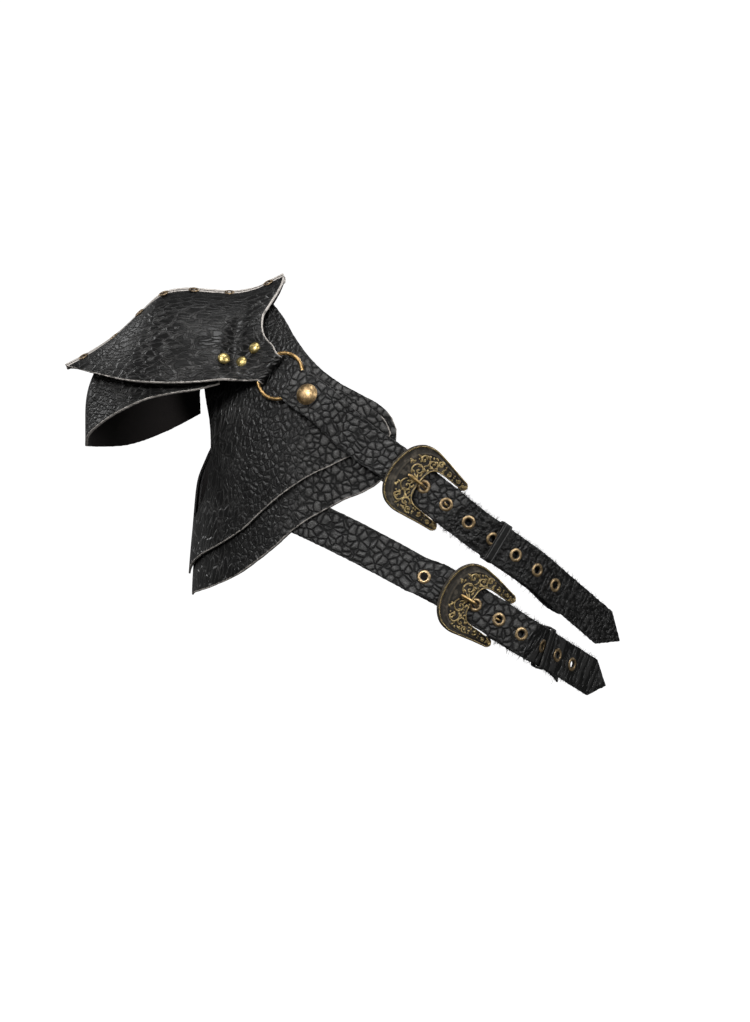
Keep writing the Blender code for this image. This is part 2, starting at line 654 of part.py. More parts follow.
def shoulder_plates(route, leather, brass):
    """The two halves of the shoulder cap with the crest eyelets, studs and back rivet."""
    index = np.array([0, 0.5, 1.1, 1.7, 2.4, 3.2, 4, 5, 6, 7, 7.5, 8, 8 + 2 / 3, 8 + 4 / 3, 10])
    depth = np.linspace(0, 1, 8)
    front, _ = plate_frame(index[None, :], depth[:, None], route)
    front_plate = sheet(
        "front_shoulder_plate", [(front, True), (plate_tab(route), True)], leather, PLATE_THICKNESS
    )
    size = np.linalg.norm(front[-1] - front[0], axis=1)
    lap_depth = np.minimum(CREST_LAP / size, 0.5)
    under = PLATE_THICKNESS + 3 * TOUCH
    lap, _ = plate_frame(index[None, :], np.stack([lap_depth, lap_depth / 2]), route, under)
    back, normal = plate_frame(index[None, :], depth[:, None], route)
    sink = under * (1 - smooth_step(depth[:, None] * size, 0.004, 0.022))
    level = normal.copy()
    level[0, :, 1] = 0.0
    level = unit(level)
    back = mirrored(back - level * sink[..., None] * 1.05)
    tab = []
    for along, lift in ((TAB_START, 1.0), (-0.019, 0.80), (-0.011, 0.25), (-0.003, 0.0), (0.018, 0.0)):
        rest = FOLD_LIFT + PLATE_THICKNESS
        height = rest + (FOLD_TOP + PLATE_THICKNESS - rest) * lift
        low, high = TAB_SIDES if along == TAB_START else (-0.019, 0.019)
        tab.append([route.at(along, low + (high - low) * share, height) for share in np.linspace(0, 1, 4)])
    back_plate = sheet(
        "back_shoulder_plate",
        [(np.concatenate([lap, back]), False), (mirrored(np.array(tab)), False)],
        leather, PLATE_THICKNESS,
    )
    ride = PLATE_THICKNESS + 3 * TOUCH
    inset = CREST_EYELET_INSET / np.interp(CREST_EYELETS, index, size)
    spots = [plate_frame(place, depth, route) for place, depth in zip(CREST_EYELETS, inset)]
    cutter = hole_cutter("crest_holes", spots, EYELET_HOLE * 0.8 + EYELET_WALL + TOUCH, 0.016)
    cut(front_plate, cutter)
    cut(back_plate, cutter)
    for number, (point, normal) in enumerate(spots, 1):
        eyelet(f"crest_eyelet_{number}", point + normal * CREST_EYELET_STAND, normal,
               ride + PLATE_THICKNESS, brass, CREST_EYELET_RADIUS)
    studs = [plate_spot(across * PLATE_REACH, down * PLATE_DROP, route) for across, down in STUDS]
    cut(front_plate, hole_cutter("stud_holes", studs, POST_RADIUS + TOUCH, 0.016))
    for number, (point, normal) in enumerate(studs, 1):
        dome(f"dome_stud_{number}", point, normal, (STUD_RADIUS, STUD_HEIGHT), ride + PLATE_THICKNESS, brass)
    point, normal, _ = route.frame(BACK_RIVET_PLACE)
    spot = mirrored(point + normal * (FOLD_LIFT + PLATE_THICKNESS)), mirrored(normal)
    cut(back_plate, hole_cutter("back_plate_hole", [spot], POST_RADIUS + TOUCH, 0.016))
    dome("back_plate_rivet", *spot, (STUD_RADIUS, STUD_HEIGHT), PLATE_THICKNESS, brass)


def arm_plates(route, leather):
    """The two halves of the lame that hangs over the upper arm."""
    scale = np.array([ARM_REACH, -ARM_FORE, ARM_DROP])
    for name, side, rows in (("front_arm_plate", 1, ARM_ROWS), ("back_arm_plate", -1, ARM_ROWS[:8])):
        table = np.array(rows)
        inward = PLATE_THICKNESS + 9 * TOUCH + (PLATE_THICKNESS + TOUCH) * (
            1 - smooth_step(table[:, 1], 0.3, 0.5))
        inward = inward + (PLATE_THICKNESS + 2 * TOUCH) * smooth_step(table[:, 0], 0.55, 0.64)
        top, _ = plate_frame(table[:, 0] * 10, table[:, 1], route, inward)
        top[0, 1] = -0.015 * ARM_FORE
        waist = table[:, 2:5] * scale
        hem = table[:, 5:8] * scale
        if side < 0:
            hem[:, 2] = table[:, 8] * ARM_DROP
        sections = np.array([
            spline(three, np.linspace(0, 1, 7)) for three in np.stack([top, waist, hem], axis=1)
        ])
        shares = np.linspace(0, 1, 12)
        grid = np.array([spline(sections[:, row], shares) for row in range(7)])
        if side < 0:
            grid = mirrored(grid)
        sheet(name, [(grid, side > 0)], leather, PLATE_THICKNESS)


def ridge_height(across):
    """Height of the top edge of the panels, just below the shoulder's ridge line."""
    return RIDGE_SLOPE * across - RIDGE_DROP - 0.00002


def edge_curve(table, count_shares, mirror):
    """An edge of a panel as (turn, height) points; a share across or an angle round."""
    rows = []
    for number, (across, down) in enumerate(table):
        height = down * PANEL_DROP
        if number == 0 and abs(down) < 0.07:
            height = ridge_height(across * PANEL_REACH)
        angle = float(body_angle(across * PANEL_REACH, height))
        rows.append((360 - angle if mirror else angle, height))
    rows = np.array(rows) * np.array([1 / TURN_SPAN, 1.0])
    return spline(rows, count_shares) * np.array([TURN_SPAN, 1.0])


def panel(name, armhole, neck, hem, lift, back, leather):
    """A panel between its armhole, neck and hem edges and the shoulder's ridge."""
    down = np.array([0, 0.008, 0.025, 0.06, 0.12, 0.20, 0.30, 0.40, 0.50, 0.60, 0.70, 0.80, 0.90, 1.0])
    across = np.linspace(0, 1, 10)
    left = edge_curve(armhole, down, back)
    right = edge_curve(neck, down, back)
    low = edge_curve(hem, across, back)
    if back:
        side = np.array(BACK_SIDE)
        side[:, 1] *= PANEL_DROP
        side[0, 1] = left[0, 1]
        side[0, 0] = left[0, 0]
        side[-1, 1] = left[-1, 1]
        rows = side * np.array([1 / TURN_SPAN, 1.0])
        left = spline(rows, down) * np.array([TURN_SPAN, 1.0])
        low[0] = left[-1]
    first = body_point(left[0, 0], left[0, 1])[0]
    last = body_point(right[0, 0], right[0, 1])[0]
    ridge_across = first + (last - first) * across
    ridge = ridge_height(ridge_across)
    top_angle = body_angle(ridge_across, ridge)
    top = np.stack([360 - top_angle if back else top_angle, ridge], axis=1)
    u, v = across[None, :, None], down[:, None, None]
    corners = (1 - u) * (1 - v) * top[0] + u * (1 - v) * top[-1] + (1 - u) * v * low[0] + u * v * low[-1]
    domain = (1 - v) * top + v * low + (1 - u) * left[:, None] + u * right[:, None] - corners
    angle, height = domain[..., 0], domain[..., 1]
    angle = np.maximum(angle, 180 + SEAM_ANGLE) if back else np.minimum(angle, 180 - SEAM_ANGLE)
    seam = np.where(angle > 180, 360 - angle, angle)
    flare = HEM_FLARE * smooth_step(-height, 0.6 * PANEL_DROP, PANEL_DROP) * smooth_step(seam, 145, 180)
    if "outer" in name:
        flare = flare + OUTER_SPREAD * smooth_step(-height, 0.45 * PANEL_DROP, 0.65 * PANEL_DROP)
    points = lay(angle, height, lift + flare)
    return sheet(name, [(points, not back)], leather, PANEL_THICKNESS)


def buckle_frame(name, route, finish):
    """The cast horseshoe frame with its bar, as one solid."""
    half = np.array(BUCKLE_ROWS) * np.array([BUCKLE_LENGTH, BUCKLE_HALF_WIDTH] * 2)
    other = half[-2::-1] * np.array([1, -1, 1, -1])
    rows = indexed(np.concatenate([half, other]), np.linspace(0, 2 * len(half) - 2, 31))
    rings = []
    for inner_along, inner_side, outer_along, outer_side in rows:
        ring = []
        for share, rise in FRAME_SECTION:
            along = inner_along + (outer_along - inner_along) * share
            side = inner_side + (outer_side - inner_side) * share
            arch = FRAME_ARCH * smooth_step(along, -0.006, 0.028)
            lift = BAR_HEIGHT + arch + FRAME_THICKNESS * rise
            ring.append(route.at(route.bar - along, side, lift))
        rings.append(ring)
    maker = bmesh.new()
    loops = [[maker.verts.new(point) for point in ring] for ring in rings]
    size = len(FRAME_SECTION)
    for one, two in zip(loops, loops[1:]):
        for corner in range(size):
            after = (corner + 1) % size
            maker.faces.new((one[corner], one[after], two[after], two[corner]))
    maker.faces.new(loops[0][::-1])
    maker.faces.new(loops[-1])
    bmesh.ops.recalc_face_normals(maker, faces=maker.faces)
    mesh = bpy.data.meshes.new(name)
    maker.to_mesh(mesh)
    maker.free()
    made = add_object(name, mesh, finish)
    reach = 0.62 * BUCKLE_HALF_WIDTH
    bpy.ops.mesh.primitive_cylinder_add(vertices=8, radius=BAR_RADIUS, depth=2 * reach)
    bar = bpy.context.active_object
    bar.name = name + "_bar"
    for group in list(bar.users_collection):
        group.objects.unlink(bar)
    CUTTERS.objects.link(bar)
    bar.hide_render = True
    bar.display_type = "WIRE"
    point, normal, forward = route.frame(route.bar)
    side = np.cross(normal, forward)
    matrix = np.eye(4)
    matrix[:3, 0] = normal
    matrix[:3, 1] = np.cross(side, normal)
    matrix[:3, 2] = side
    matrix[:3, 3] = point + normal * BAR_HEIGHT
    bar.matrix_world = Matrix(matrix.tolist())
    join = made.modifiers.new("bar", "BOOLEAN")
    join.operation = "UNION"
    join.solver = "EXACT"
    join.object = bar


def prong(name, route, finish):
    """The bent prong: looped round the bar, up through the eyelet and onto the frame."""
    loop = BAR_RADIUS + TOUCH + PRONG_RADIUS
    points = []
    for turn in range(-30, -271, -40):
        angle = math.radians(turn)
        points.append((loop * math.cos(angle), BAR_HEIGHT + loop * math.sin(angle)))
    rest = BAR_HEIGHT + FRAME_ARCH + FRAME_THICKNESS + TOUCH + PRONG_RADIUS
    low = BAR_HEIGHT + loop
    hole = BAR_TO_EYELET
    points += [(0.010, low), (0.020, low), (hole - 0.0030, low), (hole - 0.0018, low + 0.0008)]
    points += [(hole + 0.0018, rest - 0.0015), (hole + 0.0036, rest + 0.0002), (hole + 0.008, rest + 0.0006)]
    points += [(hole + 0.014, rest + 0.0005), (hole + 0.021, rest + 0.0002)]
    curve = bpy.data.curves.new(name, "CURVE")
    curve.dimensions = "3D"
    curve.bevel_depth = PRONG_RADIUS
    curve.bevel_resolution = 0
    curve.use_fill_caps = True
    line = curve.splines.new("POLY")
    line.points.add(len(points) - 1)
    for spot, (along, lift) in zip(line.points, points):
        spot.co = (*route.at(route.bar - along, 0.0, lift), 1.0)
    add_object(name, curve, finish)


def slot_cutter(name, route):
    """The slot that the prong's loop moves in, cut through the fold."""
    bpy.ops.mesh.primitive_cube_add(size=1.0)
    box = bpy.context.active_object
    box.name = name
    for group in list(box.users_collection):
        group.objects.unlink(box)
    CUTTERS.objects.link(box)
    box.hide_render = True
    box.display_type = "WIRE"
    point, normal, forward = route.frame(route.bar)
    side = np.cross(normal, forward)
    matrix = np.eye(4)
    matrix[:3, 0] = forward * 0.016
    matrix[:3, 1] = side * 2 * SLOT_HALF_WIDTH
    matrix[:3, 2] = normal * 0.020
    matrix[:3, 3] = point + normal * BAR_HEIGHT + forward * 0.001
    box.matrix_world = Matrix(matrix.tolist())
    return box


def keeper(name, route, leather):
    """A leather loop round the punched strap and the buckle strap."""
    low = BUCKLE_STRAP_LIFT - 6 * TOUCH
    high = STRAP_REST + STRAP_THICKNESS + EYELET_RISE + 3 * TOUCH
    half = STRAP_WIDTH / 2 + 3 * TOUCH
    centre = (low + high) / 2
    curve = bpy.data.curves.new(name, "CURVE")
    curve.dimensions = "2D"
    curve.fill_mode = "BOTH"
    curve.extrude = KEEPER_WIDTH / 2
    for wall, corner in ((KEEPER_WALL, 0.0018), (0.0, 0.0004)):
        wide = half + wall
        tall = (high - low) / 2 + wall
        line = curve.splines.new("POLY")
        outline = [
            (sx * (wide - cx), sy * (tall - cy))
            for sx, sy, order in ((1, 1, 1), (-1, 1, -1), (-1, -1, 1), (1, -1, -1))
            for cx, cy in ((0.0, corner), (corner, 0.0))[::order]
        ]
        line.points.add(len(outline) - 1)
        for spot, (x, y) in zip(line.points, outline):
            spot.co = (x, y, 0.0, 1.0)
        line.use_cyclic_u = True
    made = add_object(name, curve, leather)
    eyelet_place = KEEPER_EYELET * EYELET_PITCH - BAR_TO_EYELET
    flat = [eyelet_place - EYELET_RADIUS - TOUCH, eyelet_place + KEEPER_OFFSET + KEEPER_WIDTH / 2 + 2 * TOUCH]
    ends = [route.at(route.bar + step, 0.0, centre) for step in flat]
    share = (eyelet_place + KEEPER_OFFSET - flat[0]) / (flat[1] - flat[0])
    forward = unit(ends[1] - ends[0])
    side = sum(np.cross(*route.frame(route.bar + step)[1:]) for step in flat)
    side = unit(side - forward * forward.dot(side))
    matrix = np.eye(4)
    matrix[:3, 0] = side
    matrix[:3, 1] = np.cross(forward, side)
    matrix[:3, 2] = np.cross(matrix[:3, 0], matrix[:3, 1])
    matrix[:3, 3] = ends[0] + (ends[1] - ends[0]) * share
    made.matrix_world = Matrix(matrix.tolist())


def ring(route, finish):
    """The wire ring that joins the shoulder plate to the upper strap."""
    bpy.ops.mesh.primitive_torus_add(
        major_segments=24, minor_segments=6, major_radius=RING_RADIUS, minor_radius=WIRE_RADIUS
    )
    made = bpy.context.active_object
    made.name = "shoulder_ring"
    for group in list(made.users_collection):
        group.objects.unlink(made)
    PARTS.objects.link(made)
    made.data.materials.append(finish)
    point, normal, _ = route.frame(0.0)
    made.matrix_world = standing(point + normal * RING_HEIGHT, normal)


def punched_strap(name, route, start, count, first, free_length, leather, brass):
    """A strap with eyelets and a pointed free end, from its start stations."""
    half = STRAP_WIDTH / 2
    over = STRAP_OVER_BAR + STRAP_THICKNESS
    rest = STRAP_REST + STRAP_THICKNESS
    last_eyelet = route.prong_eyelet + (first + count - 1) * EYELET_PITCH
    end = last_eyelet + free_length
    stations = list(start)
    stations += evenly(stations[-1][0], route.bar, over, over, half)
    for along in past_bar(route, end - POINT_LENGTH - 0.004):
        drop = smooth_step(along, route.bar, route.bar + FOLD_RETURN)
        stations.append((along, over + (rest - over) * float(drop), half))
    stations += [(end - POINT_LENGTH, rest, half), (end, rest, half * 0.05)]
    made = strap(name, route, stations, leather, STRAP_THICKNESS, free=True)
    spots = [
        seat(route, stations, route.prong_eyelet + (first + number) * EYELET_PITCH, free=True)
        for number in range(count)
    ]
    cut(made, hole_cutter(name + "_holes", spots, EYELET_HOLE + EYELET_WALL + TOUCH, 0.008))
    for number, (point, normal) in enumerate(spots, 1):
        eyelet(f"{name}_eyelet_{number}", point, normal, STRAP_THICKNESS, brass)
    return made


def buckle_strap(name, route, finish_along, end_lift, leather):
    """The strap that holds the buckle and runs round the side to the back."""
    half = STRAP_WIDTH / 2
    rest = BUCKLE_STRAP_LIFT + BUCKLE_STRAP_THICKNESS
    body = BUCKLE_RETURN + BUCKLE_STRAP_THICKNESS
    stations = [(route.bar + FOLD_RETURN, BUCKLE_RETURN, half), (route.bar + 0.016, BUCKLE_RETURN, half)]
    stations += fold(route.bar, BAR_HEIGHT, BAR_RADIUS + TOUCH + BUCKLE_STRAP_THICKNESS, half)
    top = stations[-1][1]
    rise = (end_lift or BUCKLE_RETURN) + BUCKLE_STRAP_THICKNESS
    edge = route.length - route.where(PANEL_REACH) - 0.010
    places = list(past_bar(route, finish_along - 0.006))
    shared = [along for along in places if along < route.leave + EYELET_PITCH]
    for along in shared + places[len(shared)::2]:
        lift = top + (rest - top) * smooth_step(along, route.bar, route.bar + 0.013)
        lift = lift + (body - rest) * smooth_step(along, route.bar + 0.072, route.bar + 0.110)
        lift = lift + (rise - body) * smooth_step(along, edge - 0.025, edge)
        stations.append((along, float(lift), half))
    stations.append((finish_along, rise, half))
    made = strap(name, route, stations, leather, BUCKLE_STRAP_THICKNESS)
    cut(made, slot_cutter(name + "_slot", route))
    return made


def build():
    """Make every piece."""
    clear_scene()
    shoulder_leather = material("shoulder leather", (0.012, 0.011, 0.011), 0.42, 0.0)
    chest_leather = material("chest leather", (0.022, 0.021, 0.021), 0.5, 0.0)
    strap_leather = material("strap leather", (0.03, 0.03, 0.03), 0.5, 0.0)
    brass = material("aged brass", (0.45, 0.30, 0.12), 0.35, 1.0)
    bronze = material("antique bronze", (0.16, 0.12, 0.07), 0.45, 1.0)

    upper = Route(UPPER_ROUTE, UPPER_STRAP_LOW, UPPER_SIDE_SHARE, UPPER_PRONG_EYELET, True)
    lower = Route(LOWER_ROUTE, LOWER_STRAP_LOW, LOWER_SIDE_SHARE, LOWER_PRONG_EYELET, False)

    shoulder_plates(upper, shoulder_leather, brass)
    arm_plates(upper, shoulder_leather)
    panel("chest_panel_outer", OUTER_ARMHOLE, OUTER_NECK, OUTER_HEM, OUTER_LIFT + PANEL_THICKNESS,
          False, chest_leather)
    panel("chest_panel_under", UNDER_ARMHOLE, UNDER_NECK, UNDER_HEM, UNDER_LIFT + PANEL_THICKNESS,
          False, chest_leather)
    panel("back_panel_outer", OUTER_ARMHOLE, OUTER_NECK, OUTER_HEM, OUTER_LIFT + PANEL_THICKNESS,
          True, chest_leather)
    panel("back_panel_under", UNDER_ARMHOLE, UNDER_NECK, UNDER_HEM, UNDER_LIFT + PANEL_THICKNESS,
          True, chest_leather)
    ring(upper, brass)

    half = STRAP_WIDTH / 2
    lain = FOLD_LIFT + 2 * STRAP_THICKNESS + TOUCH
    over = STRAP_OVER_BAR + STRAP_THICKNESS
    narrow = FOLD_WIDTH / 2
    start = [(RETURN_END, FOLD_LIFT, half * 0.95), (0.030, FOLD_LIFT, half * 0.95)]
    start += fold(FOLD_PLACE, RING_HEIGHT, WIRE_RADIUS + TOUCH + STRAP_THICKNESS, narrow)
    top = FOLD_TOP + STRAP_THICKNESS
    start += [(LOOP_START, top, half * 0.97), (LOOP_END, top, half)]
    start += evenly(LOOP_END, LOOP_END + LOOP_FALL, top, lain, half, 0.004)
    start += evenly(LOOP_END + LOOP_FALL, RETURN_END + 0.001, lain, lain, half)
    start += evenly(RETURN_END + 0.001, RETURN_END + 0.016, lain, over, half)
    upper_strap = punched_strap("upper_strap", upper, start, 7, 0, UPPER_FREE_END,
                                strap_leather, brass)
    point, normal, forward = upper.frame(RIVET_PLACE)
    lift = FOLD_TOP + STRAP_THICKNESS - 0.0004
    spot = point + normal * lift, unit(normal + forward * 0.12)
    cut(upper_strap, hole_cutter("rivet_hole", [spot], POST_RADIUS + TOUCH, 0.024))
    dome("strap_rivet", *spot, (RIVET_RADIUS, RIVET_HEIGHT), lift - FOLD_LIFT - TOUCH, bronze)

    hidden = lower.where(LOWER_STRAP_START)
    rise = lower.where(LOWER_RISE_START)
    low_start = [(hidden, STRAP_THICKNESS, half)]
    low_start += evenly(hidden, rise, STRAP_THICKNESS, STRAP_THICKNESS, half)
    low_start += evenly(rise, lower.bar - BUCKLE_LENGTH, STRAP_THICKNESS, over, half)
    punched_strap("lower_strap", lower, low_start, 8, -2, LOWER_FREE_END, strap_leather, brass)

    upper_end = upper.length - 0.022
    made = buckle_strap("upper_buckle_strap", upper, upper_end, FOLD_LIFT, strap_leather)
    spots = []
    for back_from_end in (0.012, 0.034):
        point, normal, _ = upper.frame(upper_end - back_from_end)
        spots.append((point + normal * (FOLD_LIFT + BUCKLE_STRAP_THICKNESS), normal))
    cut(made, hole_cutter("back_rivet_holes", spots, POST_RADIUS + TOUCH, 0.010))
    for number, spot in enumerate(spots, 1):
        dome(f"back_rivet_{number}", *spot, (STUD_RADIUS, STUD_HEIGHT), BUCKLE_STRAP_THICKNESS, brass)
    buckle_strap("lower_buckle_strap", lower, lower.length - hidden, 0.0, strap_leather)

    for name, route in (("upper", upper), ("lower", lower)):
        buckle_frame(name + "_buckle", route, bronze)
        prong(name + "_prong", route, bronze)
        keeper(name + "_keeper", route, strap_leather)


build()
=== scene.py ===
"""The looks of a leather shoulder armour with two buckled straps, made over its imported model.

Sizes are in metres, +Z is up and the front faces -Y.
"""

import math
import random

import bmesh
import bpy
import numpy as np
from mathutils import Matrix, Vector, kdtree, noise


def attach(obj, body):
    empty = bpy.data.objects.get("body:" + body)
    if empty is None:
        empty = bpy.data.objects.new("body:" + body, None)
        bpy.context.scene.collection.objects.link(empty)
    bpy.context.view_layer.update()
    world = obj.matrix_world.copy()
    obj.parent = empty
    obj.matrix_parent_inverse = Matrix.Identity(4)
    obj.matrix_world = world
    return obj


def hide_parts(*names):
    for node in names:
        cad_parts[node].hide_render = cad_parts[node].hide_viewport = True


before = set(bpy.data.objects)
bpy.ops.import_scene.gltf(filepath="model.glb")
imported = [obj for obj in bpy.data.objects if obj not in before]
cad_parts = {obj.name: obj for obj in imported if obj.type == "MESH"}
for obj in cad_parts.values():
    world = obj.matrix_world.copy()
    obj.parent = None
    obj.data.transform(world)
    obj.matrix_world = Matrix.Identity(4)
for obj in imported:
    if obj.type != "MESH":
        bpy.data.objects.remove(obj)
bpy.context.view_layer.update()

# The body that the armour is shaped for, which is not built
BODY_HALF_WIDTH = 0.188
BODY_HALF_DEPTH = 0.120
BODY_MIDDLE = 0.1475
WAIST_TAPER = 0.123
TAPER_START = 0.174
RIDGE_SLOPE = 0.472
RIDGE_DROP = 0.006
SHOULDER_ROUND = 0.170
CHEST_POWER = 2.35
RIDGE_POWER = 1.8

# Leather
PLATE_THICKNESS = 0.0024
PANEL_THICKNESS = 0.0020
STRAP_THICKNESS = 0.0024
BUCKLE_STRAP_THICKNESS = 0.0018
GAP = 0.0007
TOUCH = 0.0003

# Shoulder plates
PLATE_REACH = 0.180
PLATE_DROP = 0.078
PLATE_RISE = 0.033
PLATE_FORE = 0.101
CREST_LAP = 0.015
CREST_SLOPE = 17.0
EDGE_SLOPE = 68.0
HORN_FLARE = 0.005
TAB_START = -0.027
TAB_SIDES = (-0.024, 0.0215)
# Front tab: (along, low side, high side) before the ring, (along, half width) back beneath it,
# (along, space under the plate) and the half width on the plate's inner face
TAB_NECK = ((-0.0245, -0.0220, 0.0202), (-0.022, -0.0205, 0.0190))
TAB_RETURN = ((-0.0195, 0.0175), (-0.022, 0.018), (TAB_START, 0.018))
TAB_UNDER = ((-0.034, 0.0030), (-0.041, 0.0014), (-0.049, 0.0005), (-0.057, 0.0005))
TAB_UNDER_SIDE = 0.017
# Back tab: its end, the half width there and the lengths between which it drops
BACK_TAB_END = 0.018
BACK_TAB_HALF = 0.019
BACK_TAB_DROP = (-0.024, -0.004)
CREST_EYELET_INSET = 0.0085
CREST_EYELETS = (1.0, 2.1, 3.1, 4.15, 5.35, 6.75, 8.9)
STUDS = ((-0.109, -0.694), (-0.014, -0.738), (0.059, -0.559))

# Arm plates
ARM_REACH = 0.160
ARM_DROP = 0.140
ARM_FORE = 0.093

# Chest and back panels
PANEL_REACH = 0.1514
PANEL_DROP = 0.293
HEM_FLARE = 0.007
TURN_SPAN = 400.0

# Ring, rivets, studs and eyelets
RING_RADIUS = 0.0241
WIRE_RADIUS = 0.0019
RIVET_RADIUS = 0.0108
RIVET_HEIGHT = 0.0040
STUD_RADIUS = 0.0062
STUD_HEIGHT = 0.0036
POST_RADIUS = 0.0018
EYELET_RADIUS = 0.0070
EYELET_HOLE = 0.0036
EYELET_WALL = 0.0006
EYELET_RISE = 0.0011
CREST_EYELET_RADIUS = 0.0056
CREST_EYELET_STAND = 0.0005

# Straps
STRAP_WIDTH = 0.038
FOLD_WIDTH = 0.033
FOLD_PLACE = 0.0166
STRAP_REACH = 0.290
UPPER_STRAP_LOW = 0.289
LOWER_STRAP_LOW = 0.357
UPPER_SIDE_SHARE = 0.985
LOWER_SIDE_SHARE = 0.968
EYELET_PITCH = 0.0285
UPPER_PRONG_EYELET = 0.1769
LOWER_PRONG_EYELET = 0.2254
UPPER_FREE_END = 0.106
LOWER_FREE_END = 0.066
POINT_LENGTH = 0.025
RIVET_PLACE = 0.0405
LOOP_START = 0.0225
LOOP_END = RIVET_PLACE - 0.0023
LOOP_FALL = 0.0125
RETURN_END = RIVET_PLACE + 0.0142
BACK_RIVET_PLACE = 0.0075
LOWER_STRAP_START = 0.055
LOWER_RISE_START = 0.104

# Buckles
BUCKLE_LENGTH = 0.070
BUCKLE_HALF_WIDTH = 0.0365
BAR_RADIUS = 0.0014
BAR_TO_EYELET = 0.0316
FRAME_THICKNESS = 0.0030
PRONG_RADIUS = 0.0014
FOLD_RETURN = 0.032
KEEPER_WIDTH = 0.0095
KEEPER_WALL = 0.0015
KEEPER_EYELET = 3
KEEPER_OFFSET = 0.0055
KEEPER_CLEAR = 0.066
FLAT_BLEND = 0.030
FLAT_MIDDLE_SHARE = 0.3
RING_FLAT_START = -0.060
STRAP_AIR = 0.0010
OUTER_SPREAD = 0.0014

# Heights of the layers above the body, worked out from the walls
BUCKLE_RETURN = 0.0005
BAR_HEIGHT = BUCKLE_RETURN + BUCKLE_STRAP_THICKNESS + TOUCH + BAR_RADIUS
BUCKLE_STRAP_LIFT = BUCKLE_RETURN + BUCKLE_STRAP_THICKNESS + TOUCH
STRAP_REST = BUCKLE_STRAP_LIFT + BUCKLE_STRAP_THICKNESS + STRAP_AIR
UNDER_LIFT = BUCKLE_RETURN + STRAP_THICKNESS + GAP
OUTER_LIFT = UNDER_LIFT + PANEL_THICKNESS + GAP
FOLD_LIFT = OUTER_LIFT + PANEL_THICKNESS + GAP
RING_HEIGHT = FOLD_LIFT + STRAP_THICKNESS + TOUCH + WIRE_RADIUS
FOLD_TOP = RING_HEIGHT + WIRE_RADIUS + TOUCH
STRAP_OVER_BAR = max(BAR_HEIGHT + BAR_RADIUS + 2 * TOUCH + 2 * PRONG_RADIUS, FOLD_LIFT)
FRAME_ARCH = STRAP_OVER_BAR + STRAP_THICKNESS + EYELET_RISE + TOUCH + FRAME_THICKNESS / 2 - BAR_HEIGHT

# Crest and lower edge of the front shoulder plate, from the outer tip to the neck side
# Columns: crest across, crest up, edge across, edge down, edge fore
PLATE_ROWS = (
    (-1.000, -1.76, -0.990, -0.77, 0.13),
    (-0.889, -1.45, -0.905, -0.825, 0.23),
    (-0.728, -0.92, -0.795, -0.89, 0.42),
    (-0.589, -0.20, -0.667, -0.955, 0.66),
    (-0.463, 0.40, -0.539, -0.987, 0.84),
    (-0.330, 0.56, -0.389, -1.00, 0.95),
    (-0.180, 0.51, -0.242, -0.987, 1.00),
    (-0.050, 0.48, -0.110, -0.955, 0.99),
)
# Crest above the tab, whose own lower edge is worked out from the ring
TAB_CREST = ((0.067, 0.60), (0.139, 0.80), (0.211, 1.00))

# Top, waist and hem of the arm plate, from the outer side to the front end
ARM_ROWS = (
    # plate_share, plate_depth, waist across, fore, down, hem across, fore, down, back hem down
    (0.150, 0.03, -0.982, 0.015, -0.60, -0.998, 0.015, -1.000, -1.000),
    (0.153, 0.08, -0.980, 0.07, -0.60, -0.998, 0.08, -0.985, -1.000),
    (0.170, 0.20, -0.960, 0.19, -0.60, -0.985, 0.24, -0.935, -1.000),
    (0.230, 0.32, -0.870, 0.36, -0.58, -0.890, 0.50, -0.835, -1.000),
    (0.320, 0.42, -0.730, 0.58, -0.55, -0.744, 0.72, -0.738, -0.985),
    (0.430, 0.50, -0.580, 0.76, -0.54, -0.594, 0.87, -0.666, -0.930),
    (0.540, 0.56, -0.430, 0.88, -0.54, -0.438, 0.96, -0.629, -0.850),
    (0.640, 0.62, -0.290, 0.93, -0.54, -0.290, 0.99, -0.604, -0.760),
    (0.720, 0.66, -0.150, 0.92, -0.53, -0.150, 0.96, -0.560, -0.660),
)

# Edges of the panels: across as shares of PANEL_REACH, down as shares of PANEL_DROP
UNDER_ARMHOLE = (
    (-0.185, -0.060), (-0.205, -0.280), (-0.180, -0.390), (-0.165, -0.480), (-0.165, -0.560),
    (-0.180, -0.620), (-0.215, -0.680), (-0.262, -0.745), (-0.2685, -0.830), (-0.2685, -0.985),
)
UNDER_NECK = (
    (0.160, 0.000), (0.268, -0.051), (0.350, -0.123), (0.443, -0.188), (0.535, -0.235),
    (0.628, -0.270), (0.766, -0.309), (0.892, -0.345), (0.964, -0.382), (1.000, -0.425),
)
UNDER_HEM = (
    (-0.2685, -0.985), (-0.165, -0.955), (-0.026, -0.917), (0.096, -0.870), (0.218, -0.818),
    (0.314, -0.771), (0.440, -0.724), (0.561, -0.689), (0.660, -0.661), (0.784, -0.635),
    (0.895, -0.597), (0.978, -0.529), (1.000, -0.425),
)
OUTER_ARMHOLE = (
    (-0.190, -0.062), (-0.218, -0.280), (-0.205, -0.331), (-0.185, -0.389), (-0.174, -0.473),
    (-0.180, -0.558), (-0.188, -0.614), (-0.225, -0.679), (-0.264, -0.750), (-0.2685, -0.830),
    (-0.2685, -0.912),
)
OUTER_NECK = (
    (0.125, -0.005), (0.225, -0.061), (0.310, -0.135), (0.405, -0.203), (0.500, -0.252),
    (0.595, -0.288), (0.730, -0.326), (0.850, -0.361), (0.925, -0.396), (0.963, -0.440),
)
OUTER_HEM = (
    (-0.2685, -0.912), (-0.228, -0.857), (-0.095, -0.807), (0.033, -0.758), (0.159, -0.693),
    (0.277, -0.640), (0.429, -0.585), (0.581, -0.546), (0.700, -0.515), (0.820, -0.485),
    (0.930, -0.465), (0.963, -0.440),
)
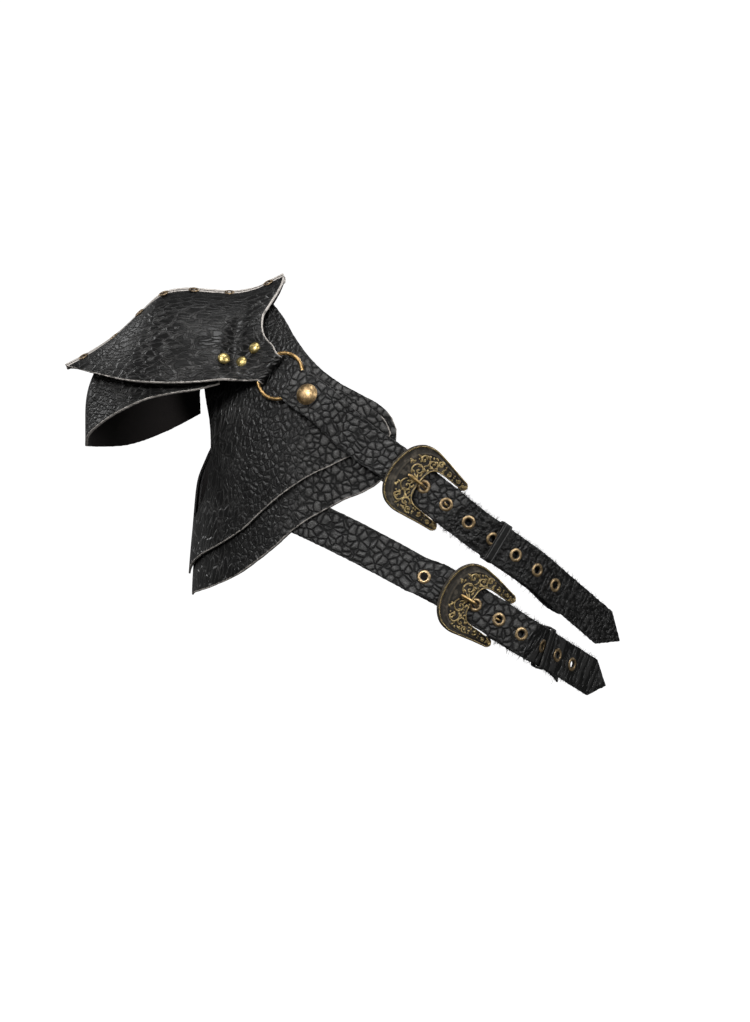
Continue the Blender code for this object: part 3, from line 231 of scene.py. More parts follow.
# Armhole and side edge of the back panels: angle round the body, down
BACK_SIDE = ((197.0, -0.062), (198.5, -0.280), (201.0, -0.400), (194.0, -0.520), (186.0, -0.610),
             (181.5, -0.700), (180.4, -0.800), (180.4, -0.900))
SEAM_ANGLE = 0.35

# Centre lines of the straps on the body: across as shares of STRAP_REACH, down as shares of the
# strap's lowest point at the side
UPPER_ROUTE = ((0.144, -0.263), (0.203, -0.305), (0.399, -0.466), (0.610, -0.626), (0.767, -0.748),
               (0.910, -0.855), (1.000, -0.922))
LOWER_ROUTE = ((0.034, -0.527), (0.228, -0.599), (0.606, -0.758), (0.777, -0.833), (0.923, -0.908),
               (1.000, -0.947))

# Half of the buckle's outline: inner along, inner across, outer along, outer across
BUCKLE_ROWS = (
    (-0.050, 0.640, -0.046, 0.745), (-0.020, 0.572, -0.012, 0.806), (0.057, 0.564, 0.057, 0.828),
    (0.229, 0.562, 0.229, 0.885), (0.380, 0.550, 0.430, 0.955), (0.465, 0.480, 0.630, 1.000),
    (0.507, 0.330, 0.815, 0.890), (0.520, 0.150, 0.950, 0.550), (0.523, 0.000, 1.000, 0.000),
)

# The line under which a panel's edge is worn light: its slope, and where the wear begins and is full
HEM_SLOPE = 0.684
HEM_START = 0.203
HEM_END = 0.209
# How often the shoulder plate's face is evened out where it bends into the tab
PLATE_EVENING = 60
# Radii of the holes cut for eyelets, studs and the straps' eyelets, and of a loose fibre
EYELET_CUT = 0.0036
STUD_CUT = 0.0026
STRAP_CUT = 0.0040
FIBRE_RADIUS = 0.00019
# Unevenness of the leather: how far from an edge its waves begin, waves, rag and fibres a metre
EDGE_CALM = 0.004
WAVE_RATE = 45.0
RAG_RATE = 420.0
FIBRE_RATE = 900.0

# Studio: the floor's level, the room and the camera at the photo's distance
FLOOR_LEVEL = -0.75
ROOM = ((0.0, FLOOR_LEVEL), (0.5, FLOOR_LEVEL), (1.0, FLOOR_LEVEL), (4.0, FLOOR_LEVEL),
        (11.0, FLOOR_LEVEL), (13.0, 0.0), (14.0, 3.0), (14.0, 14.0))
ROOM_SIDES = 48
ROOM_LIGHT = 0.12
CAMERA_PLACE = (0.130, -9.0, -0.205)
CAMERA_LENS = 317.1
# Soft lights: name, place, size, power, the place that it points to
LIGHTS = (
    ("key", (-1.2, -2.3, 1.5), 0.8, 84.0, (0.05, 0.0, -0.15)),
    ("fill", (2.1, -2.0, 0.9), 0.8, 52.0, (0.10, 0.0, -0.20)),
    ("top", (0.2, -0.5, 2.2), 0.9, 32.0, (0.10, 0.0, -0.15)),
    ("rim", (-2.2, 1.6, 1.2), 1.2, 34.0, (0.0, 0.0, -0.10)),
    ("back", (1.6, 2.4, 1.3), 1.0, 60.0, (0.05, 0.0, -0.20)),
)

# Surfaces and routes


def run_lengths(points):
    """Length along a line of points, 0 at its start."""
    steps = np.linalg.norm(np.diff(points, axis=0), axis=1)
    return np.concatenate([[0.0], np.cumsum(steps)])


def eased(t, low, low_slope, high, high_slope):
    """Smooth blend between two values with a slope at each."""
    return (
        (1 + 2 * t) * (1 - t) ** 2 * low + t * (1 - t) ** 2 * low_slope
        + t * t * (3 - 2 * t) * high + t * t * (t - 1) * high_slope
    )


def spline(rows, shares):
    """Points of a smooth curve through the rows, at shares 0 to 1 of its length."""
    rows = np.asarray(rows, float)
    shares = np.asarray(shares, float)
    knots = run_lengths(rows)
    knots = knots / knots[-1]
    slopes = np.gradient(rows, knots, axis=0)
    place = np.clip(np.searchsorted(knots, shares, side="right") - 1, 0, len(knots) - 2)
    width = (knots[place + 1] - knots[place])[:, None]
    t = (shares - knots[place])[:, None] / width
    return eased(t, rows[place], width * slopes[place], rows[place + 1], width * slopes[place + 1])


def unit(vectors):
    """The vectors scaled to length 1."""
    vectors = np.asarray(vectors, float)
    return vectors / np.linalg.norm(vectors, axis=-1, keepdims=True)


def smooth_step(value, low, high):
    """0 below low, 1 above high and an even blend between."""
    t = np.clip((np.asarray(value, float) - low) / (high - low), 0.0, 1.0)
    return t * t * (3 - 2 * t)


def body_half_width(side, height):
    """Half the body's width: straight on the armour's side, tapering on the other."""
    taper = WAIST_TAPER * np.maximum(0.0, -np.asarray(height) - TAPER_START)
    return BODY_HALF_WIDTH - np.where(side > 0, taper, 0.0)


def body_point(angle, height):
    """Point on the body at an angle round it (0 right, 90 front, 180 left) and a height."""
    turn = np.radians(angle)
    along, fore = np.cos(turn), np.sin(turn)
    wide = np.abs(along) / body_half_width(along, height)
    deep = np.abs(fore) / BODY_HALF_DEPTH
    reach = (wide ** CHEST_POWER + deep ** CHEST_POWER) ** (-1 / CHEST_POWER)
    across = BODY_MIDDLE + reach * along
    drop = np.clip((RIDGE_SLOPE * across - RIDGE_DROP - height) / SHOULDER_ROUND, 0.0, 1.0)
    round_off = (1 - (1 - drop) ** RIDGE_POWER) ** (1 / RIDGE_POWER)
    return np.stack([across, -reach * fore * round_off, height + 0.0 * across], axis=-1)


def body_angle(across, height):
    """Angle round the body of a place seen from the front."""
    offset = across - BODY_MIDDLE
    half = body_half_width(offset, height)
    share = np.clip(np.abs(offset) / half, 0.0, 1.0)
    deep = BODY_HALF_DEPTH * (1 - share ** CHEST_POWER) ** (1 / CHEST_POWER)
    return np.degrees(np.arctan2(deep, np.sign(offset) * share * half))


def body_frame(angle, height):
    """Point on the body and the outward normal there."""
    angle = np.asarray(angle, float)
    height = np.asarray(height, float)
    here = body_point(angle, height)
    turned = body_point(angle + 0.5, height)
    shift = RIDGE_SLOPE * (turned[..., 0] - here[..., 0])
    round_way = body_point(angle + 0.5, height + shift) - here
    down_way = body_point(angle, height - 0.001) - here
    return here, unit(np.cross(round_way, down_way))


def lay(angle, height, lift):
    """Point at a lift above the body."""
    point, normal = body_frame(angle, height)
    return point + normal * np.asarray(lift)[..., None]


def standing(point, normal):
    """The matrix that stands a piece on a point with its own Z along the normal."""
    up = unit(normal)
    side = unit(np.cross(up, (1.0, 0.0, 0.0)))
    matrix = np.eye(4)
    matrix[:3, 0] = np.cross(side, up)
    matrix[:3, 1] = side
    matrix[:3, 2] = up
    matrix[:3, 3] = point
    return Matrix(matrix.tolist())


class Route:
    """A strap's centre line on the body, measured along its length from the ring side."""

    def __init__(self, table, low, side_share, prong_eyelet, from_ring):
        across = np.array([row[0] for row in table]) * STRAP_REACH
        height = np.array([row[1] for row in table]) * low
        turn = np.radians(body_angle(across, height)) * BODY_HALF_DEPTH
        side = [(math.radians(20.0) * BODY_HALF_DEPTH, -side_share * low), (0.0, -low)]
        half = list(zip(turn, height)) + side
        whole = half + [(-place, drop) for place, drop in reversed(half[:-1])]
        line = spline(whole, np.linspace(0, 1, 1601))
        angle = np.degrees(line[:, 0] / BODY_HALF_DEPTH)
        self.points, self.normals = body_frame(angle, line[:, 1])
        self.along = run_lengths(self.points)
        self.length = self.along[-1]
        self.prong_eyelet = self.where(prong_eyelet)
        self.bar = self.prong_eyelet + BAR_TO_EYELET
        self.leave = max(self.where(STRAP_REACH), self.bar + KEEPER_CLEAR)
        middle = self.bar - FLAT_MIDDLE_SHARE * BUCKLE_LENGTH
        self.flats = [(self.bar - BUCKLE_LENGTH, self.bar + FOLD_RETURN, middle)]
        if from_ring:
            self.flats.append((RING_FLAT_START, RETURN_END, 0.0))

    def where(self, across):
        """Length along the front at which the route reaches a place across."""
        half = len(self.points) // 2
        return float(np.interp(across, self.points[:half, 0], self.along[:half]))

    def on_body(self, along):
        """Point, normal and direction on the body at a length."""
        def at(length, values):
            return np.array([np.interp(length, self.along, values[:, i]) for i in range(3)])
        step = 0.001
        inside = min(max(along, step), self.length - step)
        forward = unit(at(inside + step, self.points) - at(inside - step, self.points))
        normal = unit(at(inside, self.normals))
        normal = unit(normal - forward * normal.dot(forward))
        return at(inside, self.points) + forward * (along - inside), normal, forward

    def frame(self, along, free=False):
        """The same, but flat under the buckle and straight on a free end."""
        if free and along > self.leave:
            point, normal, forward = self.on_body(self.leave)
            return point + forward * (along - self.leave), normal, forward
        point, normal, forward = self.on_body(along)
        for start, end, middle in self.flats:
            weight = smooth_step(along, start - FLAT_BLEND, start)
            weight = weight * (1 - smooth_step(along, end, end + FLAT_BLEND))
            flat_point, flat_normal, flat_forward = self.on_body(middle)
            target = flat_point + flat_forward * (along - middle)
            point = point + (target - point) * weight
            normal = unit(normal + (flat_normal - normal) * weight)
            forward = unit(forward + (flat_forward - forward) * weight)
        return point, unit(normal - forward * normal.dot(forward)), forward

    def at(self, along, across, lift, free=False):
        """Point at a length, a distance to the upper side and a lift above the body."""
        point, normal, forward = self.frame(along, free)
        return point + normal * lift + np.cross(normal, forward) * across


def turn_round(centre, height, radius, degrees, half):
    """Stations of (along, lift, half width) on a turn round a wire or bar, at angles in degrees."""
    angles = [math.radians(angle) for angle in degrees]
    return [(centre - radius * math.cos(a), height + radius * math.sin(a), half) for a in angles]


def evenly(start, end, lift_from, lift_to, half, spacing=0.010):
    """Stations between two lengths, easing from one lift to the other."""
    count = max(2, int(abs(end - start) / spacing) + 1)
    shares = np.linspace(0, 1, count + 1)[1:]
    return [
        (start + (end - start) * t, lift_from + (lift_to - lift_from) * smooth_step(t, 0, 1), half)
        for t in shares
    ]


def past_bar(route, end):
    """Lengths of the stations past the bar, shared by the two straps that lie together. The
    straps are straight under each eyelet and under the keeper."""
    found = [0.004, 0.0085, 0.013]
    number = 2
    while route.bar + found[-1] < end:
        centre = number * EYELET_PITCH - BAR_TO_EYELET
        flat_end = centre + EYELET_RADIUS + TOUCH
        if number == KEEPER_EYELET:
            flat_end = centre + KEEPER_OFFSET + KEEPER_WIDTH / 2 + 2 * TOUCH
        after = (number + 1) * EYELET_PITCH - BAR_TO_EYELET - EYELET_RADIUS - TOUCH
        found += [centre - EYELET_RADIUS - TOUCH, flat_end, (flat_end + after) / 2]
        number += 1
    return [route.bar + step for step in found if route.bar + step < end]


def plate_edges(tab_start):
    """Crest and lower-edge points of the front plate, a row for each column index."""
    rows = np.array(PLATE_ROWS)
    crest = [(a * PLATE_REACH, 0.0, u * PLATE_RISE) for a, u in rows[:, :2]]
    crest += [(a * PLATE_REACH, 0.0, u * PLATE_RISE) for a, u in TAB_CREST]
    edge = [(a * PLATE_REACH, -f * PLATE_FORE, d * PLATE_DROP) for a, d, f in rows[:, 2:]]
    return np.array(crest), np.array(edge + [tab_start[0]]), np.array(tab_start)


def plate_point(index, depth, route):
    """Point of the front plate's outer face: index runs 0 to 10 from the outer tip to the neck
    side, depth 0 to 1 from the crest to the lower edge."""
    index, depth = np.broadcast_arrays(np.asarray(index, float), np.asarray(depth, float))
    shape = index.shape
    index, depth = index.ravel(), depth.ravel()
    tab = [route.at(TAB_START, side, FOLD_TOP + PLATE_THICKNESS) for side in TAB_SIDES]
    crest, edge, tab = plate_edges(tab)
    corner = len(edge) - 1
    last = len(crest) - 1
    top = indexed(crest, index)
    low = indexed(edge, np.minimum(index, corner))
    beyond = np.clip((index - corner) / (last - corner), 0.0, 1.0)[:, None]
    low = low + (tab[1] - tab[0]) * beyond
    chord = low - top
    level = unit(chord * np.array([1.0, 1.0, 0.0]))
    size = np.linalg.norm(chord, axis=1, keepdims=True)
    sloped = [
        level * math.cos(math.radians(a)) - np.array([0, 0, math.sin(math.radians(a))])
        for a in (CREST_SLOPE, EDGE_SLOPE)
    ]
    forward = route.on_body(0.0)[2]
    onto_tab = smooth_step(index, corner - 1.0, corner)[:, None]
    end_way = unit(sloped[1] * (1 - onto_tab) + forward * onto_tab)
    t = depth[:, None]
    point = eased(t, top, size * sloped[0], low, size * end_way)
    swell = np.sin(np.pi * np.clip(depth / 0.6, 0, 1))
    point[:, 0] += HORN_FLARE * swell * smooth_step(index, corner - 0.5, last)
    return point.reshape(*shape, 3)


def plate_frame(index, depth, route, inward=0.0):
    """Point at a distance under the front plate's outer face, and the outward normal."""
    index, depth = np.broadcast_arrays(np.asarray(index, float), np.asarray(depth, float))
    here = plate_point(index, depth, route)
    small = 0.02
    side = np.where(index > 9.9, -small, small)
    along = (plate_point(index + side, depth, route) - here) * np.sign(side)[..., None]
    step = np.where(depth > 0.9, -small, small)
    down = (plate_point(index, depth + step, route) - here) * np.sign(step)[..., None]
    normal = unit(np.cross(down, along))
    return here - normal * np.asarray(inward)[..., None], normal


def indexed(rows, index):
    """Smooth curve through the rows at fractional row numbers."""
    slopes = np.gradient(rows, axis=0)
    base = np.clip(np.floor(index).astype(int), 0, len(rows) - 2)
    t = (index - base)[:, None]
    return eased(t, rows[base], slopes[base], rows[base + 1], slopes[base + 1])


def plate_spot(across, height, route):
    """Point and normal of the front plate at a place seen from the front."""
    index, depth = np.meshgrid(np.linspace(0, 10, 161), np.linspace(0, 1, 81))
    point, normal = plate_frame(index, depth, route)
    away = np.hypot(point[..., 0] - across, point[..., 2] - height)
    row, column = np.unravel_index(np.argmin(away), away.shape)
    base, up = point[row, column], normal[row, column]
    fore = base[1] - (up[0] * (across - base[0]) + up[2] * (height - base[2])) / up[1]
    return np.array([across, fore, height]), up


def mirrored(points):
    """The same points at the back."""
    return points * np.array([1.0, -1.0, 1.0])


def ridge_height(across):
    """Height of the top edge of the panels, just below the shoulder's ridge line."""
    return RIDGE_SLOPE * across - RIDGE_DROP - 0.00002


def edge_curve(table, count_shares, mirror):
    """An edge of a panel as (turn, height) points; a share across or an angle round."""
    rows = []
    for number, (across, down) in enumerate(table):
        height = down * PANEL_DROP
        if number == 0 and abs(down) < 0.07:
            height = ridge_height(across * PANEL_REACH)
        angle = float(body_angle(across * PANEL_REACH, height))
        rows.append((360 - angle if mirror else angle, height))
    rows = np.array(rows) * np.array([1 / TURN_SPAN, 1.0])
    return spline(rows, count_shares) * np.array([TURN_SPAN, 1.0])


# Finishes


class Tone:
    """A socket of a material's nodes. Arithmetic on it adds its Math nodes."""

    def __init__(self, finish, socket):
        self.finish = finish
        self.socket = socket

    def sum(self, operation, *values):
        return self.finish.node("ShaderNodeMath", {"operation": operation}, dict(enumerate(values)))

    def __add__(self, other):
        return self.sum("ADD", self, other)

    def __sub__(self, other):
        return self.sum("SUBTRACT", self, other)

    def __rsub__(self, other):
        return self.sum("SUBTRACT", other, self)

    def __mul__(self, other):
        return self.sum("MULTIPLY", self, other)

    __radd__ = __add__
    __rmul__ = __mul__

    def size(self):
        return self.sum("ABSOLUTE", self)

    def most(self, other):
        return self.sum("MAXIMUM", self, other)

    def step(self, low, high):
        """0 below low, 1 above high and an even blend between."""
        return self.finish.node(
            "ShaderNodeMapRange",
            {"interpolation_type": "SMOOTHSTEP"},
            {"Value": self, "From Min": low, "From Max": high},
        )


class Finish:
    """A material, and the ways to build up its nodes."""

    def __init__(self, name):
        self.material = bpy.data.materials.new(name)
        self.material.use_nodes = True
        self.tree = self.material.node_tree
        self.shader = self.tree.nodes["Principled BSDF"]
        self.place = self.node("ShaderNodeTexCoord", output="Object")

    def node(self, kind, settings=None, sockets=None, output=0):
        """Add a node: its settings first, then its sockets' values or links."""
        made = self.tree.nodes.new(kind)
        for key, value in (settings or {}).items():
            setattr(made, key, value)
        for key, value in (sockets or {}).items():
            if isinstance(value, Tone):
                self.tree.links.new(value.socket, made.inputs[key])
            elif isinstance(value, tuple) and made.inputs[key].type == "RGBA":
                made.inputs[key].default_value = (*value, 1.0)
            else:
                made.inputs[key].default_value = value
        return Tone(self, made.outputs[output])

    def lay(self):
        """Along, across and the distance to the cut edge, each in metres."""
        return self.parts(self.node("ShaderNodeAttribute", {"attribute_name": "lay"}, output="Vector"))

    def grid(self, along, across):
        """Two tones as a place on a flat hide."""
        return self.node("ShaderNodeCombineXYZ", None, {"X": along, "Y": across})

    def parts(self, place):
        """The three measures of a place."""
        return [self.node("ShaderNodeSeparateXYZ", None, {0: place}, axis) for axis in "XYZ"]

    def moved(self, operation, place, by):
        """A place changed by a vector or a size."""
        key = "Scale" if operation == "SCALE" else 1
        return self.node("ShaderNodeVectorMath", {"operation": operation}, {0: place, key: by})

    def scaled(self, place, sizes):
        """A place stretched or squeezed along its three axes."""
        return self.moved("MULTIPLY", place, sizes)

    def shaken(self, place, size, reach):
        """The place moved about by noise of a size in metres."""
        drift = self.node(
            "ShaderNodeTexNoise", None, {"Vector": place, "Scale": 1 / size, "Detail": 2.0}, "Color"
        )
        drift = self.moved("SUBTRACT", drift, (0.5, 0.5, 0.5))
        return self.moved("ADD", place, self.moved("SCALE", drift, 2 * reach))

    def mottle(self, size, place=None, detail=3.0, roughness=0.55):
        """Cloudy noise with patches of a size in metres."""
        return self.node(
            "ShaderNodeTexNoise", None,
            {"Vector": place or self.place, "Scale": 1 / size, "Detail": detail, "Roughness": roughness},
        )

    def cells(self, size, place):
        """Distance to the nearest groove between cells, as a share of the cell's size."""
        return self.node(
            "ShaderNodeTexVoronoi", {"feature": "DISTANCE_TO_EDGE"},
            {"Vector": place, "Scale": 1 / size}, "Distance",
        )

    def below_hem(self):
        """1 on the part of a panel beside its lower hem, 0 above."""
        across, _, up = self.parts(self.place)
        return (across * HEM_SLOPE - up).step(HEM_START, HEM_END)

    def rubbed_edge(self, edge, reach, low, high):
        """Patches along a cut edge where the finish has gone."""
        start, end = reach
        return (1 - edge.step(start, end)) * self.mottle(0.004, None, 3.0).step(low, high)

    def blend(self, share, first, second):
        """From the first colour or tone at 0 to the second at 1."""
        return self.node("ShaderNodeMix", {"data_type": "RGBA"}, {0: share, 6: first, 7: second}, 2)

    def between(self, share, first, second):
        """The same for two plain tones."""
        return share * second + (1 - share) * first

    def bump(self, height, depth):
        """The normal over a relief whose tone 1 stands a depth in metres above its tone 0."""
        return self.node(
            "ShaderNodeBump", None, {"Height": height, "Distance": depth, "Strength": 1.0}, "Normal"
        )

    def set(self, **sockets):
        """Set the shader's sockets, whose names are written with low lines."""
        for key, value in sockets.items():
            socket = self.shader.inputs[key.replace("_", " ")]
            if isinstance(value, Tone):
                self.tree.links.new(value.socket, socket)
            elif isinstance(value, tuple):
                socket.default_value = (*value, 1.0)
            else:
                socket.default_value = value
        return self.material


def shoulder_grain():
    """Black hide with wavy wrinkles that run along the plate, with painted highlights on their rims and
    painted shade in their grooves.
    """
    made = Finish("shoulder_grain")
    down, edge = made.lay()[1:]
    sheet = made.shaken(made.place, 0.022, 0.005)
    cells = made.cells(0.0042, made.scaled(sheet, (0.26, 0.55, 1.0)))
    strength = down.step(0.004, 0.040)
    fold = cells.step(0.0, 0.17)
    height = made.between(strength, 0.75 + 0.25 * fold, fold) + 0.12 * made.mottle(0.003, sheet, 1.0)
    # Patches in which the painted rim highlights are stronger
    highlight_patches = made.mottle(0.014, None, 3.0).step(0.32, 0.62) * 0.75 + 0.25
    # Painted highlight: a light line along the rim of each wrinkle
    rim = cells.step(0.01, 0.05) * (1 - cells.step(0.08, 0.17)) * strength * highlight_patches
    worn = made.rubbed_edge(edge, (0.0003, 0.0014), 0.28, 0.56)
    crest = (1 - down.step(0.0030, 0.0038)) * (down - 0.0018).size().step(0.0001, 0.0006)
    worn = worn.most(crest * made.mottle(0.004, None, 3.0).step(0.20, 0.45))
    # Painted shade: the grooves between the wrinkles darker than their tops
    colour = made.blend(fold, (0.0008, 0.0008, 0.0008), (0.0034, 0.0033, 0.0033))
    colour = made.blend(rim, colour, (0.048, 0.047, 0.046))
    colour = made.blend(worn * 0.9, colour, (0.42, 0.39, 0.36))
    rough = made.between(fold, 0.62, 0.34) + 0.35 * worn
    return made.set(Base_Color=colour, Roughness=rough, Normal=made.bump(height, 0.0012),
                    Specular_IOR_Level=0.22)


def crackle(made, place, size):
    """Rounded cells with deep grooves and a smaller crackle on their tops.

    Gives the relief, and a tone that is 0 in the grooves, with which the grain finishes paint shade into the
    grooves."""
    uneven = made.shaken(place, size * 2.2, size * 0.35)
    uneven = made.shaken(uneven, size * 0.45, size * 0.07)
    big = made.cells(size, uneven)
    small = made.cells(size * 0.36, uneven)
    groove = big.step(0.01, 0.17)
    crown = big.step(0.02, 0.48)
    height = groove * 0.38 + crown * 0.54 + small.step(0.0, 0.22) * groove * 0.12
    return height, groove


def chest_grain():
    """Black hide whose grain runs from fine streaks at the arm to large crackle at the breast, with painted
    highlights on the cells' rims and crowns and painted shade in their grooves.
    """
    made = Finish("chest_grain")
    across, _, up = made.parts(made.place)
    edge = made.lay()[2]
    drift = (made.mottle(0.05, None, 2.0) - 0.5) * 0.06
    toward_breast = (across + drift + (up + 0.15) * -0.10).step(0.020, 0.088)
    toward_arm = 1 - (across + drift).step(-0.035, 0.020)
    slant = made.node("ShaderNodeVectorRotate", {"rotation_type": "Y_AXIS"},
                      {"Vector": made.place, "Angle": math.radians(-14)})
    streaks = made.cells(0.0056, made.scaled(made.shaken(slant, 0.02, 0.003), (1.2, 1.0, 0.34)))
    middle, middle_groove = crackle(made, made.scaled(slant, (1.1, 1.0, 0.80)), 0.0060)
    large, large_groove = crackle(made, made.place, 0.0076)
    streak_relief = streaks.step(0.0, 0.20) * 0.5
    relief = made.between(toward_arm, middle * 0.85, streak_relief)
    relief = made.between(toward_breast, relief, large)
    groove = made.between(toward_arm, middle_groove, streaks.step(0.0, 0.10) * 0.4 + 0.6)
    groove = made.between(toward_breast, groove, large_groove)
    # Patches in which the painted rim highlights are stronger and the hide rougher
    highlight_patches = made.mottle(0.030, None, 4.0).step(0.40, 0.68)
    scratch = made.mottle(0.0018, None, 4.0, 0.65).step(0.35, 0.70)
    # Painted highlight: the large cells lighter towards their crowns
    top = toward_breast * large.step(0.35, 0.95)
    top = made.blend(top, (0.0045, 0.0044, 0.0044), (0.050, 0.049, 0.048))
    top = made.blend(toward_breast * scratch * 0.45, top, (0.085, 0.083, 0.080))
    # Painted highlight: light lines along the rims of the middle cells and of the streaks
    rim = middle_groove * (1 - middle.step(0.45, 0.75)) * (1 - toward_arm)
    rim = rim + streaks.step(0.02, 0.07) * (1 - streaks.step(0.10, 0.20)) * toward_arm
    top = made.blend(rim * (0.3 + 0.5 * highlight_patches), top, (0.048, 0.047, 0.046))
    # Painted shade: the grooves near black
    colour = made.blend(groove, (0.0016, 0.0016, 0.0016), top)
    worn = made.rubbed_edge(edge, (0.0002, 0.0012), 0.30, 0.56) * made.below_hem()
    colour = made.blend(worn * 0.8, colour, (0.36, 0.33, 0.30))
    rough = made.between(groove, 0.65, 0.32) + 0.08 * highlight_patches + 0.14 * toward_breast + 0.3 * worn
    return made.set(Base_Color=colour, Roughness=rough, Normal=made.bump(relief, 0.0013),
                    Specular_IOR_Level=0.27)


def strap_grain(name, crackle_end, size, creased):
    """Crackled hide near the ring, turning to pebble grain past a length along the strap, with painted shade
    in the grooves and painted highlights on the raised grain.

    creased is the share of wrinkles across the strap in the pebble grain."""
    made = Finish(name)
    along, across, edge = made.lay()
    flat = made.grid(along, across)
    drift = (made.mottle(0.02, flat, 2.0) - 0.5) * 0.03
    plain = (along + drift).step(crackle_end - 0.008, crackle_end + 0.012)
    large, groove = crackle(made, flat, size)
    pebbles = made.mottle(0.0046, made.shaken(flat, 0.008, 0.0020), 2.0, 0.5).step(0.40, 0.62)
    sheet = made.scaled(made.shaken(flat, 0.02, 0.005), (1.6, 0.30, 1.0))
    wrinkles = made.mottle(0.0085, sheet, 2.0, 0.5)
    pebble_relief = pebbles * (1 - creased) * 0.6 + wrinkles.step(0.42, 0.60) * creased
    relief = made.between(plain, large, pebble_relief)
    tone = made.mottle(size * 1.4, flat, 4.0).step(0.30, 0.70)
    scuff = made.mottle(0.0030, flat, 5.0, 0.65).step(0.35, 0.75)
    # Random tone, and painted highlight: the cells lighter towards their crowns
    top = made.blend(tone * large.step(0.3, 0.95), (0.022, 0.022, 0.022), (0.066, 0.065, 0.064))
    top = made.blend(scuff * 0.5, top, (0.095, 0.093, 0.090))
    # Painted shade: the grooves near black
    cracked = made.blend(groove, (0.0015, 0.0015, 0.0015), top)
    # Painted highlight and shade: raised pebbles and wrinkles light, the gaps between them dark
    pebbled = pebble_relief.step(0.15, 0.75)
    pebbled = made.blend(pebbled, (0.0012, 0.0012, 0.0012), (0.024, 0.0236, 0.0232))
    colour = made.blend(plain, cracked, pebbled)
    border = 1 - edge.step(0.0004, 0.0026)
    colour = made.blend(border * 0.7, colour, (0.008, 0.008, 0.008))
    rough = made.between(plain, made.between(groove, 0.70, 0.42), 0.36) + 0.12 * scuff
    return made.set(Base_Color=colour, Roughness=rough, Normal=made.bump(relief, 0.0020),
                    Specular_IOR_Level=0.28)


def keeper_grain():
    """Smooth black loop with a pressed line beside each edge."""
    made = Finish("keeper_grain")
    along, across, edge = made.lay()
    line = 1 - (edge - 0.0016).size().step(0.0001, 0.0008)
    wrinkles = made.mottle(0.004, made.grid(along, across), 4.0)
    colour = made.blend(wrinkles.step(0.3, 0.7), (0.0020, 0.0020, 0.0020), (0.0070, 0.0069, 0.0069))
    colour = made.blend(line * 0.5, colour, (0.10, 0.098, 0.095))
    return made.set(Base_Color=colour, Roughness=wrinkles * 0.2 + 0.40, Specular_IOR_Level=0.28,
                    Normal=made.bump(wrinkles * 0.35 - line * 0.6, 0.0008))


def flesh_side():
    """The matt, dark brownish-black back of the hide."""
    made = Finish("flesh_side")
    nap = made.mottle(0.0011, None, 4.0, 0.7)
    cloud = made.mottle(0.020, None, 3.0)
    colour = made.blend(nap * 0.5 + cloud * 0.5, (0.0055, 0.0045, 0.0045), (0.022, 0.018, 0.017))
    return made.set(Base_Color=colour, Roughness=0.92, Normal=made.bump(nap, 0.0003),
                    Sheen_Weight=0.08, Specular_IOR_Level=0.25)


def cut_edge(name, light, dark, share, hem_only=False):
    """The raw cut edge, light fibres with patches of dye; a panel's is dyed above its hem."""
    made = Finish(name)
    fibre = made.mottle(0.0006, None, 3.0, 0.7)
    patch = made.mottle(0.006, None, 4.0, 0.6).step(share - 0.12, share + 0.16)
    colour = made.blend(fibre, tuple(0.6 * tone for tone in light), light)
    if hem_only:
        patch = patch * made.below_hem()
    colour = made.blend(patch, dark, colour)
    return made.set(Base_Color=colour, Roughness=0.88, Normal=made.bump(fibre, 0.0004))


def old_metal(name, bright, dull, deep, rough, grime, size):
    """Aged cast or pressed metal: bright where rubbed, dull and dark where it isn't."""
    made = Finish(name)
    stain = made.mottle(size, None, 5.0, 0.6)
    specks = made.mottle(size * 0.18, None, 2.0, 0.6).step(0.52, 0.66)
    hollow = made.node("ShaderNodeAttribute", {"attribute_name": "hollow"}, output="Fac")
    colour = made.blend(stain.step(0.36, 0.66), dull, bright)
    colour = made.blend(specks * grime, colour, deep)
    colour = made.blend(hollow * (1.15 - 0.5 * stain.step(0.50, 0.62)), colour, deep)
    roughness = made.between(specks * grime, stain * 0.18 + rough, rough + 0.3)
    roughness = made.between(hollow, roughness, 0.75)
    metal = 1 - 0.55 * hollow
    return made.set(Base_Color=colour, Roughness=roughness, Metallic=metal,
                    Normal=made.bump(stain * 0.6 + specks * -0.4, 0.00018))


def fibres():
    """Short dark threads of the hide."""
    made = Finish("loose_fibres")
    colour = made.blend(made.mottle(0.003, None, 2.0), (0.003, 0.003, 0.003), (0.022, 0.021, 0.020))
    return made.set(Base_Color=colour, Roughness=0.85)


FINISHES = {
    "shoulder": shoulder_grain(),
    "chest": chest_grain(),
    "upper_strap": strap_grain("upper_strap_grain", 0.262, 0.0072, 0.25),
    "lower_strap": strap_grain("lower_strap_grain", 0.262, 0.0076, 0.70),
    "buckle_strap": strap_grain("buckle_strap_grain", -1.0, 0.0072, 0.3),
    "keeper": keeper_grain(),
    "flesh": flesh_side(),
    "light_edge": cut_edge("light_edge", (0.58, 0.54, 0.50), (0.030, 0.027, 0.025), 0.36),
    "hem_edge": cut_edge("hem_edge", (0.58, 0.54, 0.50), (0.012, 0.011, 0.011), 0.36, True),
    "dark_edge": cut_edge("dark_edge", (0.075, 0.072, 0.070), (0.010, 0.010, 0.010), 0.50),
    "fibres": fibres(),
}
